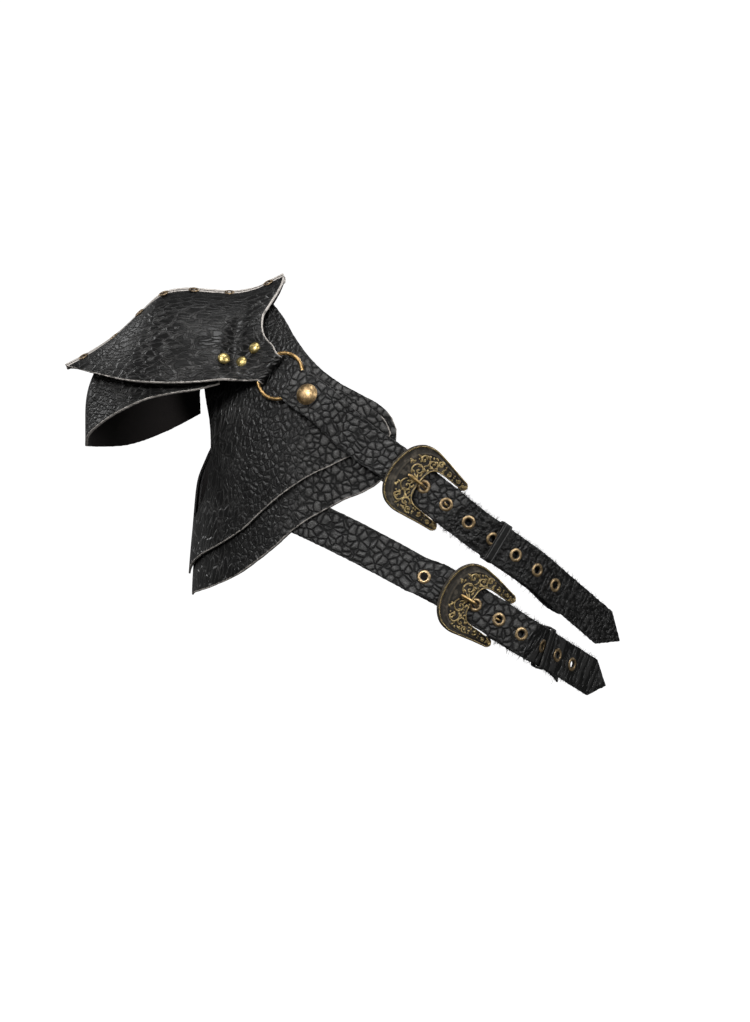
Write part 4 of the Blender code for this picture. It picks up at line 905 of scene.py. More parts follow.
# Metals: name, bright, dull and deep colour, roughness, grime, size of the stains
METALS = (
    ("ring_brass", (0.50, 0.33, 0.14), (0.26, 0.16, 0.065), (0.08, 0.05, 0.025), 0.26, 0.35, 0.004),
    ("stud_brass", (0.52, 0.41, 0.17), (0.34, 0.26, 0.10), (0.08, 0.06, 0.025), 0.27, 0.4, 0.004),
    ("eyelet_brass", (0.56, 0.41, 0.23), (0.28, 0.195, 0.105), (0.03, 0.022, 0.013), 0.30, 0.6, 0.004),
    ("crest_brass", (0.34, 0.25, 0.15), (0.10, 0.07, 0.045), (0.015, 0.012, 0.009), 0.36, 0.7, 0.004),
    ("rivet_bronze", (0.42, 0.29, 0.15), (0.22, 0.15, 0.075), (0.03, 0.022, 0.012), 0.27, 0.6, 0.004),
    ("buckle_bronze", (0.115, 0.098, 0.074), (0.070, 0.060, 0.047), (0.012, 0.0105, 0.008), 0.30, 0.2, 0.006),
    ("buckle_gold", (0.50, 0.38, 0.18), (0.22, 0.165, 0.08), (0.03, 0.022, 0.014), 0.28, 0.5, 0.003),
    ("prong_brass", (0.56, 0.38, 0.16), (0.34, 0.23, 0.10), (0.03, 0.022, 0.012), 0.24, 0.3, 0.004),
)
for metal in METALS:
    FINISHES[metal[0]] = old_metal(*metal)


# Making pieces


def settle(made, nodes, finishes):
    """Give a piece its finishes, and let it stand for its nodes in the model, if it has any."""
    for finish in finishes:
        made.data.materials.append(FINISHES[finish])
    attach(made, "root")
    if nodes:
        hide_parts(*nodes)


def piece_of(name, maker):
    """An object from a mesh in the making."""
    mesh = bpy.data.meshes.new(name)
    maker.to_mesh(mesh)
    maker.free()
    made = bpy.data.objects.new(name, mesh)
    bpy.context.scene.collection.objects.link(made)
    return made


def flat_lay(points):
    """Along and across of each point of a grid, as if it lay flat."""
    down = np.linalg.norm(np.diff(points, axis=0), axis=2)
    down = np.concatenate([np.zeros((1, points.shape[1])), np.cumsum(down, axis=0)])
    along = np.linalg.norm(np.diff(points, axis=1), axis=2)
    along = np.concatenate([np.zeros((points.shape[0], 1)), np.cumsum(along, axis=1)], axis=1)
    return np.stack([along - along[:, points.shape[1] // 2, None], down], axis=2)


def with_plain_lay(points, flip):
    """A grid for hide() whose lay is worked out from its own points."""
    return points, flip, flat_lay(points)


def joined(maker, one, two):
    """The faces between two closed rings of points."""
    for corner, here in enumerate(one):
        after = (corner + 1) % len(one)
        maker.faces.new((here, one[after], two[after], two[corner])).smooth = True


def rim_lines(maker):
    """For each point on the sheet's rim, the way that leads out of the sheet."""
    out = {}
    for line in maker.edges:
        if line.is_boundary:
            face = line.link_faces[0]
            one, two = line.verts
            way = (two.co - one.co).cross(face.normal)
            if way.dot(face.calc_center_median() - one.co) > 0:
                way = -way
            for point in (one, two):
                out[point] = out.get(point, Vector()) + way.normalized()
    return {point: way.normalized() for point, way in out.items()}


def hide(name, grids, thickness, holes=(), wave=0.0002, rag=0.0003, belly=0.00035):
    """A cut piece of leather from grids of (points, flip, lay), with a rounded cut edge.

    wave is the unevenness of its face, rag that of its cut edge and belly how far the edge
    stands out. Finishes: outer face, back, cut edge."""
    maker = bmesh.new()
    lay_of = maker.verts.layers.float_vector.new("lay")
    for points, flip, flat in grids:
        verts = [[maker.verts.new(spot) for spot in row] for row in points]
        for row, line in enumerate(verts):
            for column, vert in enumerate(line):
                vert[lay_of] = (*flat[row, column], 0.0)
        for row in range(len(verts) - 1):
            for column in range(len(verts[0]) - 1):
                corners = [verts[row][column], verts[row][column + 1],
                           verts[row + 1][column + 1], verts[row + 1][column]]
                middle = sum((corner.co for corner in corners), Vector()) / 4
                if all((middle - Vector(spot)).length > radius for spot, radius in holes):
                    maker.faces.new(corners[::-1] if flip else corners)
    bmesh.ops.remove_doubles(maker, verts=maker.verts, dist=0.00001)
    loose = [vert for vert in maker.verts if not vert.link_faces]
    bmesh.ops.delete(maker, geom=loose, context="VERTS")
    maker.normal_update()
    out = rim_lines(maker)
    near_hole = [
        point for point in out
        if any((point.co - Vector(spot)).length < 1.5 * radius for spot, radius in holes)
    ]
    rim = [point for point in out if point not in near_hole]
    tree = kdtree.KDTree(len(rim))
    for number, point in enumerate(rim):
        tree.insert(point.co, number)
    tree.balance()
    for vert in maker.verts:
        flat = vert[lay_of]
        flat.z = tree.find(vert.co)[2]
        vert[lay_of] = flat
    for vert in maker.verts:
        ease = min(1.0, vert[lay_of].z / EDGE_CALM)
        vert.co += vert.normal * wave * noise.noise(vert.co * WAVE_RATE) * ease
    for point in rim:
        point.co += out[point] * rag * (noise.noise(point.co * RAG_RATE) - 0.4)
    faces = list(maker.faces)
    back = {}
    for vert in list(maker.verts):
        back[vert] = maker.verts.new(vert.co - vert.normal * thickness)
        back[vert][lay_of] = vert[lay_of]
    band = {}
    for point, way in out.items():
        band[point] = [point]
        for share in (0.22, 0.78):
            level = point.co - point.normal * thickness * share
            turn = noise.noise(level * FIBRE_RATE) * 0.5 + 0.8
            fresh = maker.verts.new(level + way * belly * turn)
            fresh[lay_of] = point[lay_of]
            band[point].append(fresh)
        band[point].append(back[point])
    lines = [(line, line.link_faces[0]) for line in maker.edges if line.is_boundary]
    for face in faces:
        made = maker.faces.new([back[vert] for vert in reversed(face.verts)])
        made.material_index = 1
        made.smooth = face.smooth = True
    for line, face in lines:
        corners = list(face.verts)
        one, two = line.verts
        if corners[(corners.index(one) + 1) % len(corners)] is not two:
            one, two = two, one
        for step in range(3):
            made = maker.faces.new(
                (band[two][step], band[one][step], band[one][step + 1], band[two][step + 1])
            )
            made.material_index = 2
            made.smooth = True
        line.smooth = False
    return piece_of(name, maker)


def finely(stations, spacing):
    """Stations of (along, lift, half width) with more of them between."""
    found = [stations[0]]
    for one, two in zip(stations, stations[1:]):
        reach = math.hypot(two[0] - one[0], two[1] - one[1])
        count = max(1, math.ceil(reach / spacing))
        for step in range(1, count + 1):
            share = step / count
            found.append(tuple(a + (b - a) * share for a, b in zip(one, two)))
    return found


def belt(route, stations, free=False, columns=17, spacing=0.0022, crown=0.00025):
    """Grid of a strap's outer face, and its lay: the length along and the place across."""
    fine = finely(stations, spacing)
    shares = np.linspace(-1, 1, columns)
    shares = np.sign(shares) * np.abs(shares) ** 0.85
    points = np.array([
        [route.at(along, half * share, lift - crown * share * share, free) for share in shares]
        for along, lift, half in fine
    ])
    run = run_lengths(points[:, points.shape[1] // 2])
    across = np.array([[half * share for share in shares] for _, _, half in fine])
    return points, np.stack([run[:, None] + 0 * across, across], axis=2)


def turned(name, profile, spot, sides=40):
    """A turned piece from a closed or axis-to-axis profile of (radius, height, hollow)."""
    point, normal = spot
    maker = bmesh.new()
    shade = maker.verts.layers.float.new("hollow")
    matrix = standing(point, normal)
    rings = []
    for radius, height, hollow in profile:
        count = 1 if radius == 0 else sides
        ring = []
        for number in range(count):
            angle = 2 * math.pi * number / sides
            place = Vector((radius * math.cos(angle), radius * math.sin(angle), height))
            vert = maker.verts.new(matrix @ place)
            vert[shade] = hollow
            ring.append(vert)
        rings.append(ring)
    pairs = list(zip(rings, rings[1:]))
    if profile[0][0] > 0:
        pairs.append((rings[-1], rings[0]))
    for one, two in pairs:
        for number in range(sides):
            after = (number + 1) % sides
            corners = []
            for ring, place in ((one, number), (two, number), (two, after), (one, after)):
                vert = ring[place % len(ring)]
                if vert not in corners:
                    corners.append(vert)
            maker.faces.new(corners).smooth = True
    bmesh.ops.recalc_face_normals(maker, faces=maker.faces)
    return piece_of(name, maker)


def shade_of(maker):
    """The layer that tells a metal's hollows from its rubbed places."""
    return maker.verts.layers.float.get("hollow") or maker.verts.layers.float.new("hollow")


def rod(maker, points, radii, sides=8, flat=1.0, up=(0.3, -0.9, 0.2)):
    """A round bar through points with a radius at each, rounded off at both ends."""
    shade = shade_of(maker)
    points = np.asarray(points, float)
    ways = unit(np.gradient(points, axis=0))
    side = np.asarray(up, float)
    rings = []
    for point, way, radius in zip(points, ways, radii):
        side = unit(side - way * way.dot(side))
        third = np.cross(way, side)
        ring = []
        for number in range(sides):
            angle = 2 * math.pi * number / sides
            place = point + radius * (math.cos(angle) * third + flat * math.sin(angle) * side)
            vert = maker.verts.new(place)
            vert[shade] = 0.0
            ring.append(vert)
        rings.append(ring)
    for one, two in zip(rings, rings[1:]):
        joined(maker, one, two)
    ends = ((rings[0][::-1], points[0] - ways[0] * radii[0] * 0.6),
            (rings[-1], points[-1] + ways[-1] * radii[-1] * 0.6))
    for ring, tip in ends:
        end = maker.verts.new(tip)
        for number in range(sides):
            maker.faces.new((ring[number], ring[(number + 1) % sides], end)).smooth = True


def bead(maker, point, sizes, axes, sides=8, rings=5):
    """A small rounded bead with its three half sizes along three axes."""
    shade = shade_of(maker)
    matrix = np.eye(4)
    for number, (size, axis) in enumerate(zip(sizes, axes)):
        matrix[:3, number] = unit(axis) * size
    matrix[:3, 3] = point
    made = bmesh.ops.create_uvsphere(
        maker, u_segments=sides, v_segments=rings, radius=1.0, matrix=Matrix(matrix.tolist())
    )
    for vert in made["verts"]:
        vert[shade] = 0.0
        for face in vert.link_faces:
            face.smooth = True


def frayed(name, spots, reach):
    """Loose fibres that stand out of a cut edge at (point, way out, way along)."""
    maker = bmesh.new()
    for point, out, along in spots:
        length = reach * random.uniform(0.25, 1.0) ** 1.6 + 0.0006
        lean = along * random.uniform(-0.9, 0.9)
        curl = np.array([random.uniform(-1, 1) for _ in range(3)]) * 0.5
        way = unit(out + lean)
        steps = np.linspace(0, 1, 5)[:, None]
        line = point + way * length * steps + curl * length * steps ** 2 * 0.8
        rod(maker, line, FIBRE_RADIUS * np.array([1.0, 1.0, 0.9, 0.7, 0.4]), sides=3)
    settle(piece_of(name, maker), [], ["fibres"])


# The armour's own pieces

UPPER = Route(UPPER_ROUTE, UPPER_STRAP_LOW, UPPER_SIDE_SHARE, UPPER_PRONG_EYELET, True)
LOWER = Route(LOWER_ROUTE, LOWER_STRAP_LOW, LOWER_SIDE_SHARE, LOWER_PRONG_EYELET, False)


def tab_grid(spans_of, shares, route):
    """Grid of a tab from rows of (along, lift, low side, high side)."""
    return np.array([
        [route.at(along, low + (high - low) * share, lift) for share in shares]
        for along, lift, low, high in spans_of
    ])


def plate_tab(route, shares):
    """The front plate's tab: round the ring and back beneath the plate."""
    top = FOLD_TOP + PLATE_THICKNESS
    radius = WIRE_RADIUS + TOUCH + PLATE_THICKNESS
    half = FOLD_WIDTH / 2
    rows = [(along, top, low, high) for along, low, high in ((TAB_START, *TAB_SIDES), *TAB_NECK)]
    turn = turn_round(FOLD_PLACE, RING_HEIGHT, radius, range(90, -91, -12), half)
    rows += [(-along, lift, -side, side) for along, lift, side in turn]
    rows += [(along, FOLD_LIFT, -side, side) for along, side in TAB_RETURN]
    grid = [list(row) for row in tab_grid(rows, shares, route)]
    for along, space in TAB_UNDER:
        row = []
        for share in shares:
            seen = route.at(along, TAB_UNDER_SIDE * (2 * share - 1), top)
            point, normal = plate_spot(seen[0], seen[2], route)
            row.append(point - normal * (2 * PLATE_THICKNESS + space))
        grid.append(row)
    return np.array(grid)


def eyelet_profile(radius, hole, depth):
    """Profile of a rolled eyelet: barrel, rounded flange with a dark lip, and a washer behind."""
    rise = EYELET_RISE
    width = radius - hole
    return (
        (hole, -depth, 0.9), (hole, -0.2 * rise, 0.8), (hole + 0.06 * width, 0.45 * rise, 0.45),
        (hole + 0.18 * width, 0.86 * rise, 0.05), (hole + 0.36 * width, rise, 0.0),
        (hole + 0.58 * width, 0.94 * rise, 0.0), (hole + 0.78 * width, 0.66 * rise, 0.1),
        (hole + 0.92 * width, 0.30 * rise, 0.45), (radius, 0.02 * rise, 0.85),
        (radius - 0.0004, -0.0001, 0.8), (hole + EYELET_WALL, -0.0001, 0.8),
        (hole + EYELET_WALL, -depth + 0.0004, 0.6),
        (hole + 0.5 * width, -depth + 0.0003, 0.4), (hole + 0.55 * width, -depth, 0.2),
        (hole + 0.4 * width, -depth - 0.00025, 0.0), (hole + 0.1 * width, -depth - 0.00025, 0.0),
    )


def eyelet(node, spot, radius, depth, finish="eyelet_brass"):
    """An eyelet at (point, normal) through leather of a depth."""
    hole = EYELET_HOLE * radius / EYELET_RADIUS
    made = turned(node + "_rolled", eyelet_profile(radius, hole, depth), spot, 40)
    settle(made, [node], [finish])


def dome_profile(radius, height, depth, brim=0.0):
    """Profile of a domed head with its post."""
    rows = [(0.0, height, 0.0)]
    foot = brim * 0.6
    for degrees in range(82, -1, -8):
        angle = math.radians(degrees)
        rows.append(((radius - brim) * math.cos(angle), (height - foot) * math.sin(angle) + foot, 0.0))
    if brim:
        rows += [(radius - 0.4 * brim, brim * 0.55, 0.25), (radius, brim * 0.25, 0.1)]
    rows += [(radius, 0.00005, 0.5), (radius - 0.0003, 0.0, 0.9), (POST_RADIUS, 0.0, 0.9),
             (POST_RADIUS, -depth, 0.5), (0.0, -depth, 0.5)]
    return rows


def stud(node, spot, depth, finish="stud_brass", size=(STUD_RADIUS, STUD_HEIGHT), brim=0.0):
    """A domed stud or rivet at (point, normal) through leather of a depth."""
    made = turned(node + "_domed", dome_profile(*size, depth, brim), spot, 48)
    settle(made, [node], [finish])


def relaxed(points, times):
    """A grid with its inner points evened out and its edges kept."""
    points = points.copy()
    for _ in range(times):
        points[1:-1, 1:-1] = (points[1:-1, 1:-1] * 2 + points[1:-1, :-2] + points[1:-1, 2:]) / 4
    return points


def shoulder_plates(route):
    """Both halves of the shoulder cap, its eyelets, studs and the rivet at the back."""
    index = np.concatenate([np.linspace(0, 8, 93), np.linspace(8, 10, 25)[1:]])
    depth = np.linspace(0, 1, 46)
    front = relaxed(plate_frame(index[None, :], depth[:, None], route)[0], PLATE_EVENING)
    size = np.linalg.norm(front[-1] - front[0], axis=1)
    ride = PLATE_THICKNESS + 3 * TOUCH
    inset = CREST_EYELET_INSET / np.interp(CREST_EYELETS, index, size)
    spots = [plate_frame(place, at, route) for place, at in zip(CREST_EYELETS, inset)]
    studs = [plate_spot(across * PLATE_REACH, down * PLATE_DROP, route) for across, down in STUDS]
    holes = [(point, EYELET_CUT) for point, _ in spots] + [(point, STUD_CUT) for point, _ in studs]
    tab = plate_tab(route, np.linspace(0, 1, 25))
    flat = flat_lay(front)
    flat[..., 1] = front[0, :, 2] - front[..., 2]
    tab_flat = flat_lay(tab)
    tab_flat[..., 1] += 0.06
    made = hide("front_shoulder_plate_leather", [(front, True, flat), (tab, True, tab_flat)],
                PLATE_THICKNESS, holes, belly=0.0003)
    settle(made, ["front_shoulder_plate"], ["shoulder", "flesh", "light_edge"])

    lap_depth = np.minimum(CREST_LAP / size, 0.5)
    lap_rows = np.linspace(1, 0, 9)[:-1, None] * lap_depth[None, :]
    lap, _ = plate_frame(index[None, :], lap_rows, route, ride)
    back, normal = plate_frame(index[None, :], depth[:, None], route)
    back = relaxed(back, PLATE_EVENING)
    sink = ride * (1 - smooth_step(depth[:, None] * size, 0.004, 0.022))
    level = normal.copy()
    level[..., 1] *= smooth_step(depth, 0.0, 0.06)[:, None]
    level = unit(level)
    back = mirrored(back - level * sink[..., None] * 1.05)
    rest = FOLD_LIFT + PLATE_THICKNESS
    rows = [(TAB_START, rest + (FOLD_TOP - FOLD_LIFT), *TAB_SIDES)]
    for along in np.linspace(TAB_START, BACK_TAB_END, 22)[1:]:
        lift = rest + (FOLD_TOP - FOLD_LIFT) * (1 - smooth_step(along, *BACK_TAB_DROP))
        narrow = smooth_step(along, TAB_START, -BACK_TAB_HALF)
        sides = [side + (math.copysign(BACK_TAB_HALF, side) - side) * narrow for side in TAB_SIDES]
        rows.append((along, float(lift), *sides))
    tab = mirrored(tab_grid(rows, np.linspace(0, 1, 25), route))
    rivet_normal = route.frame(BACK_RIVET_PLACE)[1]
    back_rivet = mirrored(route.at(BACK_RIVET_PLACE, 0.0, rest)), mirrored(rivet_normal)
    whole = np.concatenate([lap, back])
    holes = [(point - normal_there * ride, EYELET_CUT) for point, normal_there in spots]
    made = hide("back_shoulder_plate_leather",
                [with_plain_lay(whole, False), with_plain_lay(tab, False)],
                PLATE_THICKNESS, holes, belly=0.0003)
    settle(made, ["back_shoulder_plate"], ["shoulder", "flesh", "light_edge"])
    for number, (point, normal_there) in enumerate(spots, 1):
        eyelet(f"crest_eyelet_{number}", (point + normal_there * CREST_EYELET_STAND * 0.6, normal_there),
               CREST_EYELET_RADIUS, ride + PLATE_THICKNESS, "crest_brass")
    for number, spot in enumerate(studs, 1):
        stud(f"dome_stud_{number}", spot, ride + PLATE_THICKNESS)
    stud("back_plate_rivet", back_rivet, PLATE_THICKNESS)


def arm_plates(route):
    """The lame that hangs over the upper arm, in its front and back half."""
    scale = np.array([ARM_REACH, -ARM_FORE, ARM_DROP])
    for node, side, rows in (("front_arm_plate", 1, ARM_ROWS), ("back_arm_plate", -1, ARM_ROWS[:8])):
        table = np.array(rows)
        inward = PLATE_THICKNESS + 9 * TOUCH + (PLATE_THICKNESS + TOUCH) * (
            1 - smooth_step(table[:, 1], 0.3, 0.5))
        inward = inward + (PLATE_THICKNESS + 2 * TOUCH) * smooth_step(table[:, 0], 0.55, 0.64)
        top, _ = plate_frame(table[:, 0] * 10, table[:, 1], route, inward)
        top[0, 1] = -0.015 * ARM_FORE
        waist = table[:, 2:5] * scale
        hem = table[:, 5:8] * scale
        if side < 0:
            hem[:, 2] = table[:, 8] * ARM_DROP
        sections = np.array([
            spline(three, np.linspace(0, 1, 44)) for three in np.stack([top, waist, hem], axis=1)
        ])
        grid = np.array([spline(sections[:, row], np.linspace(0, 1, 84)) for row in range(44)])
        if side < 0:
            grid = mirrored(grid)
        flat = flat_lay(grid)
        flat[..., 1] += 0.03
        made = hide(node + "_leather", [(grid, side > 0, flat)], PLATE_THICKNESS, belly=0.0003)
        settle(made, [node], ["shoulder", "flesh", "light_edge"])


def panel(node, armhole, neck, hem, lift, spread, back):
    """A chest or back panel between its armhole, neck and hem edges and the shoulder's ridge.

    spread is how far its lower part stands out over the layer beneath."""
    down = np.concatenate([[0, 0.003, 0.008, 0.014], np.linspace(0.022, 1, 118)])
    across = np.linspace(0, 1, 84)
    left = edge_curve(armhole, down, back)
    right = edge_curve(neck, down, back)
    low = edge_curve(hem, across, back)
    if back:
        side = np.array(BACK_SIDE)
        side[:, 1] *= PANEL_DROP
        side[0, 1] = left[0, 1]
        side[0, 0] = left[0, 0]
        side[-1, 1] = left[-1, 1]
        rows = side * np.array([1 / TURN_SPAN, 1.0])
        left = spline(rows, down) * np.array([TURN_SPAN, 1.0])
        low[0] = left[-1]
    first = body_point(left[0, 0], left[0, 1])[0]
    last = body_point(right[0, 0], right[0, 1])[0]
    ridge_across = first + (last - first) * across
    ridge = ridge_height(ridge_across)
    top_angle = body_angle(ridge_across, ridge)
    top = np.stack([360 - top_angle if back else top_angle, ridge], axis=1)
    u, v = across[None, :, None], down[:, None, None]
    corners = (1 - u) * (1 - v) * top[0] + u * (1 - v) * top[-1]
    corners = corners + (1 - u) * v * low[0] + u * v * low[-1]
    domain = (1 - v) * top + v * low + (1 - u) * left[:, None] + u * right[:, None] - corners
    angle, height = domain[..., 0], domain[..., 1]
    angle = np.maximum(angle, 180 + SEAM_ANGLE) if back else np.minimum(angle, 180 - SEAM_ANGLE)
    seam = np.where(angle > 180, 360 - angle, angle)
    flare = HEM_FLARE * smooth_step(-height, 0.6 * PANEL_DROP, PANEL_DROP) * smooth_step(seam, 145, 180)
    flare = flare + spread * smooth_step(-height, 0.45 * PANEL_DROP, 0.65 * PANEL_DROP)
    points = lay(angle, height, lift + flare)
    made = hide(node + "_leather", [with_plain_lay(points, not back)], PANEL_THICKNESS, wave=0.00018)
    settle(made, [node], ["chest", "flesh", "hem_edge"])


def seat(route, stations, along, free=False):
    """Point and normal on a strap's outer face at a length past the bar or on the lower strap."""
    top = sorted((place, lift) for place, lift, _ in stations if place > 0.02 and lift > BAR_HEIGHT)
    places, lifts = zip(*top)
    here, behind, ahead = (
        route.at(place, 0.0, float(np.interp(place, places, lifts)), free)
        for place in (along, along - 0.004, along + 0.004)
    )
    _, normal, forward = route.frame(along, free)
    return here, unit(np.cross(ahead - behind, np.cross(normal, forward)))


def edge_spots(points, count, low, high):
    """Random places on the two long edges of a strap's grid, between two rows."""
    found = []
    for _ in range(count):
        row = random.randint(low, high - 2)
        side = random.choice((0, -1))
        share = random.random()
        point = points[row, side] * (1 - share) + points[row + 1, side] * share
        inner = points[row, 1 if side == 0 else -2]
        found.append((point, unit(point - inner), unit(points[row + 1, side] - points[row, side])))
    return found


def punched_strap(node, route, start, count, first, free_length, finish):
    """A strap with eyelets and a pointed free end."""
    half = STRAP_WIDTH / 2
    over = STRAP_OVER_BAR + STRAP_THICKNESS
    rest = STRAP_REST + STRAP_THICKNESS
    last_eyelet = route.prong_eyelet + (first + count - 1) * EYELET_PITCH
    end = last_eyelet + free_length
    stations = list(start)
    stations += evenly(stations[-1][0], route.bar, over, over, half)
    for along in past_bar(route, end - POINT_LENGTH - 0.004):
        drop = smooth_step(along, route.bar, route.bar + FOLD_RETURN)
        stations.append((along, over + (rest - over) * float(drop), half))
    stations += [(end - POINT_LENGTH, rest, half), (end, rest, half * 0.04)]
    spots = [
        seat(route, stations, route.prong_eyelet + (first + number) * EYELET_PITCH, free=True)
        for number in range(count)
    ]
    points, flat = belt(route, stations, free=True)
    made = hide(node + "_leather", [(points, True, flat)], STRAP_THICKNESS,
                [(point, STRAP_CUT) for point, _ in spots], wave=0.0002, rag=0.0006)
    settle(made, [node], [finish, "flesh", "dark_edge"])
    for number, spot in enumerate(spots, 1):
        eyelet(f"{node}_eyelet_{number}", spot, EYELET_RADIUS, STRAP_THICKNESS)
    rows = len(points)
    frayed(node + "_fray", edge_spots(points, 240, int(rows * 0.40), int(rows * 0.93)), 0.0030)


def buckle_strap(node, route, finish_along, end_lift):
    """The strap that holds the buckle and runs round the side to the back."""
    half = STRAP_WIDTH / 2
    rest = BUCKLE_STRAP_LIFT + BUCKLE_STRAP_THICKNESS
    body = BUCKLE_RETURN + BUCKLE_STRAP_THICKNESS
    stations = [(route.bar + FOLD_RETURN, BUCKLE_RETURN, half), (route.bar + 0.016, BUCKLE_RETURN, half)]
    radius = BAR_RADIUS + TOUCH + BUCKLE_STRAP_THICKNESS
    stations += turn_round(route.bar, BAR_HEIGHT, radius, range(-90, 91, 10), half)
    top = stations[-1][1]
    rise = (end_lift or BUCKLE_RETURN) + BUCKLE_STRAP_THICKNESS
    edge = route.length - route.where(PANEL_REACH) - 0.010
    for along in past_bar(route, finish_along - 0.006):
        lift = top + (rest - top) * smooth_step(along, route.bar, route.bar + 0.013)
        lift = lift + (body - rest) * smooth_step(along, route.bar + 0.072, route.bar + 0.110)
        lift = lift + (rise - body) * smooth_step(along, edge - 0.025, edge)
        stations.append((along, float(lift), half))
    stations.append((finish_along, rise, half))
    points, flat = belt(route, stations, spacing=0.0026)
    slot = [(route.at(route.bar + step, 0.0, BAR_HEIGHT), EYELET_CUT) for step in (-0.003, 0.0, 0.003)]
    made = hide(node + "_leather", [(points, True, flat)], BUCKLE_STRAP_THICKNESS, slot,
                wave=0.00015, rag=0.0005)
    settle(made, [node], ["buckle_strap", "flesh", "dark_edge"])
    rows = len(points)
    frayed(node + "_fray", edge_spots(points, 300, 8, int(rows * 0.32)), 0.0052)


def buckle_field(half_rows):
    """Rows of (inner along, inner side, outer along, outer side) right round the frame."""
    half = np.array(BUCKLE_ROWS) * np.array([BUCKLE_LENGTH, BUCKLE_HALF_WIDTH] * 2)
    other = half[-2::-1] * np.array([1, -1, 1, -1])
    return indexed(np.concatenate([half, other]), half_rows)


def on_buckle(route, along, side, rise):
    """Point at a rise, in shares of the frame's thickness, over a place in the buckle's plan."""
    arch = FRAME_ARCH * smooth_step(along, -0.006, 0.028)
    return route.at(route.bar - along, side, BAR_HEIGHT + arch + FRAME_THICKNESS * rise)


BUCKLE_LAST_ROW = 2 * len(BUCKLE_ROWS) - 2
SCROLL_TURNS = 1.1
ROPE_PITCH = 0.00155
ROPE_BEAD = (0.00060, 0.00115, 0.00100)
# Leaves beside a scroll: share in the field, lean from the scroll's turn, rows along
LEAVES = ((0.15, 0.5, 0.25), (0.60, -0.4, 0.2), (0.61, 2.2, -0.25), (0.14, 2.8, -0.3),
          (0.62, 1.0, 0.0), (0.24, -1.2, 0.45), (0.48, 2.6, 0.5), (0.34, 1.4, -0.45))

# Cross-section of the buckle's frame: share from the inner to the outer edge, rise, darkness
FINE_SECTION = (
    (0.00, -0.50, 0.3), (0.00, 0.28, 0.2), (0.015, 0.40, 0.0), (0.045, 0.46, 0.0), (0.075, 0.40, 0.2),
    (0.10, 0.27, 0.9), (0.20, 0.24, 0.8), (0.35, 0.24, 0.75), (0.50, 0.24, 0.8), (0.60, 0.25, 0.85),
    (0.66, 0.27, 0.9), (0.68, 0.34, 0.3), (0.70, 0.35, 0.25), (0.72, 0.30, 0.6), (0.75, 0.22, 0.8),
    (0.80, 0.20, 0.6), (0.85, 0.22, 0.8), (0.88, 0.30, 0.8), (0.98, 0.28, 0.6), (1.0, 0.10, 0.5),
    (1.0, -0.50, 0.5),
)


def field_edges(row):
    """The inner and the outer edge of the buckle's field at a row."""
    edges = buckle_field(np.array([row]))[0]
    return edges[:2], edges[2:]


def place_in_field(row, share):
    """A place between the field's inner and outer edge, as (along, side)."""
    inner, outer = field_edges(row)
    return inner + (outer - inner) * share


def field_width(row):
    """How wide the field is at a row."""
    inner, outer = field_edges(row)
    return math.hypot(*(outer - inner))


def vine(maker, route, plan, thick):
    """A raised tendril on the buckle's field along a plan of (along, side) points."""
    plan = np.asarray(plan)
    points = [on_buckle(route, along, side, 0.34) for along, side in plan]
    swell = np.sin(np.linspace(0.15, 1, len(points)) * np.pi * 0.85) ** 0.5
    rod(maker, points, thick * (0.45 + 0.65 * swell), sides=6, up=route.frame(route.bar)[1])


def scroll(row, share, radius, turn, hand):
    """Plan of a scroll that winds in to a place in the field."""
    centre = place_in_field(row, share)
    plan = []
    for t in np.linspace(0, 1, 26):
        angle = turn + hand * SCROLL_TURNS * 2 * math.pi * t
        size = radius * (1 - t) ** 0.8 + 0.12 * radius
        plan.append(centre + size * np.array([math.cos(angle), math.sin(angle)]))
    return plan


def leaf(maker, route, centre, turn, length, width):
    """A pointed, domed leaf that lies on the buckle's field."""
    way = np.array([math.cos(turn), math.sin(turn)])
    points = [on_buckle(route, *(centre + way * length * t), 0.33) for t in np.linspace(0, 1, 7)]
    radii = width * np.array([0.35, 0.8, 1.0, 0.9, 0.65, 0.35, 0.1])
    rod(maker, points, radii, sides=6, flat=0.45, up=route.frame(route.bar)[1])


def buckle(name, route):
    """The cast horseshoe frame: roped rim, dark groove, scrolls with small pearls, and its bar."""
    maker = bmesh.new()
    shade = shade_of(maker)
    rings = []
    for row in np.linspace(0, BUCKLE_LAST_ROW, 181):
        ring = []
        for share, rise, dark in FINE_SECTION:
            vert = maker.verts.new(on_buckle(route, *place_in_field(row, share), rise))
            vert[shade] = dark
            ring.append(vert)
        rings.append(ring)
    for one, two in zip(rings, rings[1:]):
        joined(maker, one, two)
    maker.faces.new(rings[0][::-1])
    maker.faces.new(rings[-1])
    point, normal, forward = route.frame(route.bar)
    side = np.cross(normal, forward)
    reach = 0.66 * BUCKLE_HALF_WIDTH
    middle = point + normal * BAR_HEIGHT
    rod(maker, [middle + side * reach * t for t in np.linspace(-1, 1, 9)], [BAR_RADIUS] * 9, sides=12)
    for end in (-1, 1):
        knob = middle + side * (reach + 0.0006) * end
        bead(maker, knob, (0.0021, 0.0021, 0.0014), (normal, forward, side), 12, 7)
    bmesh.ops.recalc_face_normals(maker, faces=maker.faces)
    made = piece_of(name + "_frame", maker)
    settle(made, [name], ["buckle_bronze"])
    buckle_relief(name, route)


